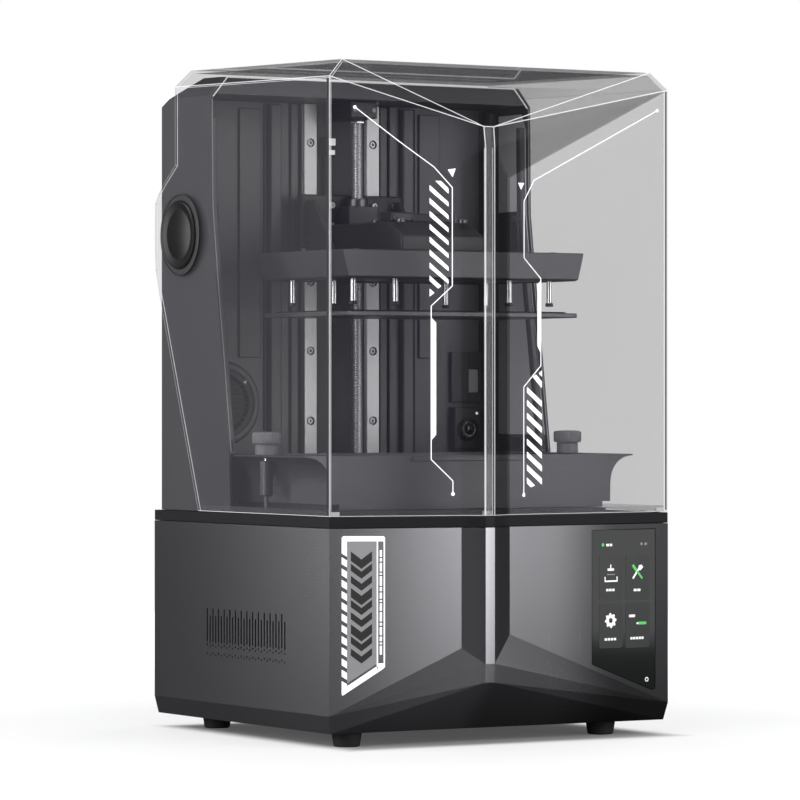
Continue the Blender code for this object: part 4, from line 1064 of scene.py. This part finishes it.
# pour spout line on the front wall
prism("vat_front_rib", "vat", "bed", [(-60.0, 226.4), (60.0, 226.4), (57.0, 230.2), (-57.0, 230.2)], "Y", 43.9, 45.4, bevel=0.4)


def knurl(r, h, a):
    return r * (1.0 + (0.022 * math.cos(a * 30) if 240.9 < h < 249.1 else 0.0))


for tag, s_ in (("left", -1), ("right", 1)):
    body = NODES["vat_knob_" + tag]["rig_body"]
    prof = [(0, 187.2), (1.5, 187.2), (1.9, 187.8), (1.9, 231.3), (9.2, 231.3), (9.2, 239.0), (8.6, 239.8), (8.6, 240.0), (10.6, 240.0), (11.5, 240.8), (11.7, 241.4), (11.7, 248.0), (11.4, 248.8), (10.4, 249.7), (6.5, 250.1), (0, 250.2)]
    bm = bmesh.new()
    lathe_into(bm, s_ * 146.8, 128.7, 0.0, [(0, 187.2), (1.5, 187.2), (1.9, 187.8), (1.9, 231.6), (0, 231.6)], seg=24)
    finish_mesh("knob_pin_" + tag, bm, "chrome", body, smooth=35)
    bm = bmesh.new()
    lathe_into(bm, s_ * 146.8, 128.7, 0.0, [(0, 231.3), (9.2, 231.3), (9.2, 239.0), (8.6, 239.6), (8.6, 240.0), (10.6, 240.0), (11.4, 240.7), (11.6, 241.4), (11.6, 248.0), (11.3, 248.8), (10.4, 249.6), (6.5, 250.0), (0, 250.1)], seg=120, radial=knurl)
    finish_mesh("knob_head_" + tag, bm, "knob", body, ("vat_knob_" + tag,), smooth=30)
    DONE.add("vat_knob_" + tag)

# tilt frame screws
bm = bmesh.new()
for x in (-120, 120):
    for y in (52, 92, 168, 206):
        lathe_into(bm, x, y, 0.0, [(0, 186.2), (2.2, 186.2), (2.2, 186.95), (0, 186.95)], seg=16)
finish_mesh("tilt_frame_screws", bm, "steel_dark", "bed", smooth=35)

# hinge caps: thin dark ring, recessed ring, domed turning disc
for tag, s_ in (("left", -1), ("right", 1)):
    prof = [(0, 0.2), (34.2, 0.2), (34.4, 0.6), (34.2, 1.1), (33.4, 1.2), (32.9, 0.7), (29.6, 0.7), (29.3, 1.0), (0, 1.0)]
    bm = bmesh.new()
    lathe_into(bm, s_ * HW, PIVOT_Y - 0.6, PIVOT_Z, [(r, s_ * h) for r, h in prof], "X", 96)
    finish_mesh("hinge_ring_" + tag, bm, "black", "lid", ("hinge_cap_" + tag,), smooth=30)
    bm = bmesh.new()
    prof = [(0, 0.9), (28.6, 0.9), (28.8, 1.6), (28.2, 2.5), (27.2, 2.9), (25.6, 2.7), (21.5, 1.75), (20.5, 1.7), (19.8, 1.9), (0, 3.3)]
    lathe_into(bm, s_ * HW, PIVOT_Y - 0.6, PIVOT_Z, [(r, s_ * h) for r, h in prof], "X", 96)
    finish_mesh("hinge_disc_" + tag, bm, "black_gloss", "lid", smooth=22)
    DONE.add("hinge_cap_" + tag)

# flange along the lid's foot with its clips
# painted highlight: the flange is in the lighter smoke copy, standing in for the light band along the lid's foot
bm = bmesh.new()
q = HW - 3.1
foot_line = [(-q, 214.0), (-q, 2.0), (-52.3, -18.9), (-36.3, -30.0), (-28.5, -30.0), (-7.0, -18.5), (q, 2.0), (q, 214.0)]
ribbon_into(bm, foot_line, 0.7, lambda x, y, z: P(x, y, z), 184.2, 188.6)
finish_mesh("lid_flange", bm, "smoke_strip", "lid")
bm = bmesh.new()
clip_spots = [((-159.4, 2.0), (-152.5, 0.4)), ((-37.2, -29.0), (-27.6, -29.0)), ((150.6, 0.6), (158.6, 1.8))]
for (xa, ya), (xb, yb) in clip_spots:
    ribbon_into(bm, [(xa, ya), (xb, yb)], 1.1, lambda x, y, z: P(x, y, z), 184.0, 187.2)
finish_mesh("lid_clips", bm, "clip", "lid", bevel=0.25)

# ====================================================================== rear and sides
# fan guard: rings and spokes over the hub
refine("fan_frame", "black", bevel=0.9)
DONE.add("fan_frame")
bm = bmesh.new()
for r in (8.0, 14.5, 21.0):
    lathe_into(bm, 88.0, 293.2, 110.0, [(r - 0.7, -0.7), (r + 0.7, -0.7), (r + 0.7, 0.7), (r - 0.7, 0.7)], "Y", 56)
finish_mesh("fan_guard_rings", bm, "steel", "base", smooth=40)
bm = bmesh.new()
for k in range(4):
    a = math.radians(45 + 90 * k)
    c, s_n = math.cos(a), math.sin(a)
    pts = [(88.0 + c * 3.0 - s_n * 0.7, 110.0 + s_n * 3.0 + c * 0.7), (88.0 + c * 27.5 - s_n * 0.7, 110.0 + s_n * 27.5 + c * 0.7),
           (88.0 + c * 27.5 + s_n * 0.7, 110.0 + s_n * 27.5 - c * 0.7), (88.0 + c * 3.0 + s_n * 0.7, 110.0 + s_n * 3.0 - c * 0.7)]
    prism_into(bm, pts, AX["Y"], 292.1, 293.0)
finish_mesh("fan_guard_spokes", bm, "steel", "base")
bm = bmesh.new()
lathe_into(bm, 88.0, 280.4, 110.0, [(0, 8.9), (7.0, 8.9), (8.6, 8.0), (8.8, 6.0), (8.8, 0.2), (0, 0.2)], "Y", 40)
finish_mesh("fan_hub", bm, "black_gloss", "fan", smooth=35)
lathe("fan_label", "decal_grey", "fan", 88.0, 289.25, 110.0, [(0, 0.12), (5.6, 0.12), (5.6, 0.0), (0, 0.0)], "Y", 32)
# mains inlet: moulded socket with three blades; rocker with its dot and bar
refine("power_inlet", "black", bevel=0.8)
DONE.add("power_inlet")
boxes("inlet_blades", "chrome", "base", [(-118.4, -116.4, 281.0, 290.5, 49.2, 53.4), (-112.6, -110.6, 281.0, 290.5, 49.2, 53.4), (-115.5, -113.5, 281.0, 290.5, 54.6, 58.0)], bevel=0.2)
boxes("inlet_flange", "black", "base", [(-133.0, -129.4, 295.0, 296.4, 37.6, 66.4), (-99.6, -96.0, 295.0, 296.4, 37.6, 66.4), (-129.4, -99.6, 295.0, 296.4, 37.6, 40.6), (-129.4, -99.6, 295.0, 296.4, 63.4, 66.4)], bevel=0.5)
boxes("switch_frame", "black", "base", [(-90.0, -87.4, 295.0, 296.4, 38.8, 65.2), (-72.6, -70.0, 295.0, 296.4, 38.8, 65.2), (-87.4, -72.6, 295.0, 296.4, 38.8, 41.6), (-87.4, -72.6, 295.0, 296.4, 62.4, 65.2)], bevel=0.5)
refine("power_switch", "black_gloss", bevel=0.9, seg=3)
DONE.add("power_switch")
refine("usb_port", "steel", bevel=0.3)
DONE.add("usb_port")
boxes("stick_frame", "black", "base", [(161.8, 163.0, 31.6, 33.6, 129.6, 148.4), (161.8, 163.0, 40.4, 42.4, 129.6, 148.4), (161.8, 163.0, 33.6, 40.4, 129.6, 131.6), (161.8, 163.0, 33.6, 40.4, 146.4, 148.4)], bevel=0.35)
# rear cover of the column: raised frame, louvres and screws
boxes("rear_frame", "column", "base", [(-146.0, -138.0, 289.7, 291.6, 200.0, 500.0), (138.0, 146.0, 289.7, 291.6, 200.0, 500.0), (-138.0, 138.0, 289.7, 291.6, 200.0, 207.0), (-138.0, 138.0, 289.7, 291.6, 493.0, 500.0)], bevel=0.8)
louvres = []
for i in range(14):
    z = 228.0 + i * 7.5
    louvres.append((-96.0, -30.0, 289.7, 291.0, z, z + 3.2))
    louvres.append((30.0, 96.0, 289.7, 291.0, z, z + 3.2))
boxes("rear_louvres", "panel_dark", "base", louvres, bevel=0.5)
bm = bmesh.new()
for x in (-142.0, 142.0):
    for z in (206.0, 300.0, 400.0, 494.0):
        lathe_into(bm, x, 291.4, z, [(0, -0.2), (3.0, -0.2), (3.0, 0.7), (2.5, 1.2), (1.4, 1.2), (1.3, 0.5), (0, 0.5)], "Y", 22)
for x in (-148.0, -30.0, 30.0, 148.0):
    for z in (32.0, 164.0):
        lathe_into(bm, x, 295.2, z, [(0, -0.2), (3.0, -0.2), (3.0, 0.7), (2.5, 1.2), (1.4, 1.2), (1.3, 0.5), (0, 0.5)], "Y", 22)
finish_mesh("rear_screws", bm, "steel_dark", "base", smooth=35)
boxes("rear_label_blank", "decal_grey", "base", [(-20.0, 46.0, 295.1, 295.5, 40.0, 72.0)], bevel=0.1)
boxes("rear_seam", "rubber", "base", [(-158.0, 158.0, 295.1, 295.5, 168.6, 169.2)])

for node in PLAN:
    if node not in DONE and not NODES[node].hide_render:
        plain(node)

# ====================================================================== stage and light
bm = bmesh.new()
bmesh.ops.create_grid(bm, x_segments=1, y_segments=1, size=6.0)
me = bpy.data.meshes.new("floor")
bm.to_mesh(me)
bm.free()
floor = bpy.data.objects.new("floor", me)
SCENE.collection.objects.link(floor)
# pale paper floor: bright to the camera, duller in what it throws back on the object
fm = bpy.data.materials.new("floor_pale")
fm.use_nodes = True
ft = fm.node_tree
fb = ft.nodes["Principled BSDF"]
fb.inputs["Roughness"].default_value = 0.7
fb.inputs["Specular IOR Level"].default_value = 0.1
ftc = ft.nodes.new("ShaderNodeTexCoord")
fn = ft.nodes.new("ShaderNodeTexNoise")
fn.inputs["Scale"].default_value = 3.0
ft.links.new(ftc.outputs["Object"], fn.inputs["Vector"])
flp = ft.nodes.new("ShaderNodeLightPath")
pale = mix_rgb(ft, fn.outputs["Fac"], (0.315, 0.315, 0.32), (0.33, 0.33, 0.335))
fmix = ft.nodes.new("ShaderNodeMix")
fmix.data_type = "RGBA"
fmix.inputs[6].default_value = (0.07, 0.07, 0.072, 1.0)
ft.links.new(flp.outputs["Is Camera Ray"], fmix.inputs[0])
ft.links.new(pale, fmix.inputs[7])
ft.links.new(fmix.outputs[2], fb.inputs["Base Color"])
# painted shadow: the glow grows with distance from the object, so the floor is darker near it whatever the light, on
# top of its own rendered shadow
fl = ft.nodes.new("ShaderNodeVectorMath")
fl.operation = "LENGTH"
ft.links.new(ftc.outputs["Object"], fl.inputs[0])
fr = ft.nodes.new("ShaderNodeMapRange")
fr.interpolation_type = "SMOOTHSTEP"
fr.inputs["From Min"].default_value = 0.25
fr.inputs["From Max"].default_value = 1.1
fr.inputs["To Min"].default_value = FLOOR_NEAR
fr.inputs["To Max"].default_value = 0.9
ft.links.new(fl.outputs["Value"], fr.inputs["Value"])
fe = ft.nodes.new("ShaderNodeMath")
fe.operation = "MULTIPLY"
ft.links.new(fr.outputs["Result"], fe.inputs[0])
ft.links.new(flp.outputs["Is Camera Ray"], fe.inputs[1])
# painted shadow: no glow right under the object, which darkens the floor there so that its contact shadow stays dark
fab = ft.nodes.new("ShaderNodeVectorMath")
fab.operation = "ABSOLUTE"
ft.links.new(ftc.outputs["Object"], fab.inputs[0])
fxy = ft.nodes.new("ShaderNodeSeparateXYZ")
ft.links.new(fab.outputs["Vector"], fxy.inputs[0])
fmx = ft.nodes.new("ShaderNodeMath")
fmx.operation = "MAXIMUM"
ft.links.new(fxy.outputs["X"], fmx.inputs[0])
ft.links.new(fxy.outputs["Y"], fmx.inputs[1])
fms = ft.nodes.new("ShaderNodeMapRange")
fms.interpolation_type = "SMOOTHSTEP"
fms.inputs["From Min"].default_value = 0.14
fms.inputs["From Max"].default_value = 0.172
fms.inputs["To Min"].default_value = 0.12
fms.inputs["To Max"].default_value = 1.0
ft.links.new(fmx.outputs[0], fms.inputs["Value"])
fem = ft.nodes.new("ShaderNodeMath")
fem.operation = "MULTIPLY"
ft.links.new(fe.outputs[0], fem.inputs[0])
ft.links.new(fms.outputs["Result"], fem.inputs[1])
ft.links.new(fem.outputs[0], fb.inputs["Emission Strength"])
fb.inputs["Emission Color"].default_value = (1.0, 1.0, 1.0, 1.0)
me.materials.append(fm)

world = bpy.data.worlds.new("studio")
SCENE.world = world
world.use_nodes = True
wt = world.node_tree
bg = wt.nodes["Background"]
lp = wt.nodes.new("ShaderNodeLightPath")


def world_level(col, strength):
    n = wt.nodes.new("ShaderNodeBackground")
    n.inputs["Color"].default_value = (*col, 1.0)
    n.inputs["Strength"].default_value = strength
    return n


w_dif = world_level((0.95, 0.96, 1.0), WORLD_DIFFUSE)
w_glo = world_level((0.95, 0.95, 1.0), WORLD_GLOSSY)
# the studio wall behind the object is what the underside of the lid's top mirrors
wtc = wt.nodes.new("ShaderNodeTexCoord")
wdot = wt.nodes.new("ShaderNodeVectorMath")
wdot.operation = "DOT_PRODUCT"
wt.links.new(wtc.outputs["Generated"], wdot.inputs[0])
wdot.inputs[1].default_value = (0.515, 0.857, 0.0)
wmr = wt.nodes.new("ShaderNodeMapRange")
wmr.interpolation_type = "SMOOTHSTEP"
wmr.inputs["From Min"].default_value = 0.86
wmr.inputs["From Max"].default_value = 0.95
wmr.inputs["To Min"].default_value = WORLD_GLOSSY
wmr.inputs["To Max"].default_value = 0.1
wt.links.new(wdot.outputs["Value"], wmr.inputs["Value"])
wt.links.new(wmr.outputs["Result"], w_glo.inputs["Strength"])
w_cam = world_level((1.0, 1.0, 1.0), 1.0)
m1 = wt.nodes.new("ShaderNodeMixShader")
wt.links.new(lp.outputs["Is Glossy Ray"], m1.inputs[0])
wt.links.new(w_dif.outputs[0], m1.inputs[1])
wt.links.new(w_glo.outputs[0], m1.inputs[2])
m2 = wt.nodes.new("ShaderNodeMixShader")
wt.links.new(lp.outputs["Is Camera Ray"], m2.inputs[0])
wt.links.new(m1.outputs[0], m2.inputs[1])
wt.links.new(w_cam.outputs[0], m2.inputs[2])
wt.links.new(m2.outputs[0], wt.nodes["World Output"].inputs["Surface"])


def softbox(name, az, dist, z, w, h, power, target=(-0.03, -0.12, 0.28), tint=(1.0, 1.0, 1.0)):
    """az: degrees from straight ahead of the front (-Y) towards +X."""
    a = math.radians(az)
    ld = bpy.data.lights.new(name, "AREA")
    ld.shape = "RECTANGLE"
    ld.size, ld.size_y = w, h
    ld.energy = power
    ld.color = tint
    ob = bpy.data.objects.new(name, ld)
    SCENE.collection.objects.link(ob)
    ob.location = (target[0] + dist * math.sin(a), target[1] - dist * math.cos(a), z)
    d = Vector(target) - ob.location
    ob.rotation_euler = d.to_track_quat("-Z", "Y").to_euler()
    ob.visible_camera = False
    return ob


softbox("key", 27.0, 1.35, 0.40, 0.86, 1.7, 18.5)
softbox("left_fill", -82.0, 1.6, 0.50, 0.8, 1.4, 24.0)
softbox("right_wall", 50.0, 1.4, 0.35, 0.3, 1.5, 2.2, target=(0.06, -0.14, 0.1))
softbox("left_rear", -130.0, 1.5, 0.45, 0.5, 1.5, 9.5, target=(-0.1, 0.0, 0.25))
softbox("right_rear", 118.0, 1.7, 0.60, 0.9, 1.4, 13.0, target=(0.1, 0.0, 0.2))
behind = softbox("behind", 172.0, 1.8, 0.60, 1.0, 1.2, 10.0, target=(0.0, 0.1, 0.2))
softbox("top", 0.0, 0.25, 2.1, 1.6, 1.6, 14.0, target=(0.0, 0.05, 0.3))

# lights the painted rear wall without showing up as a white patch in the lid
behind.visible_glossy = False
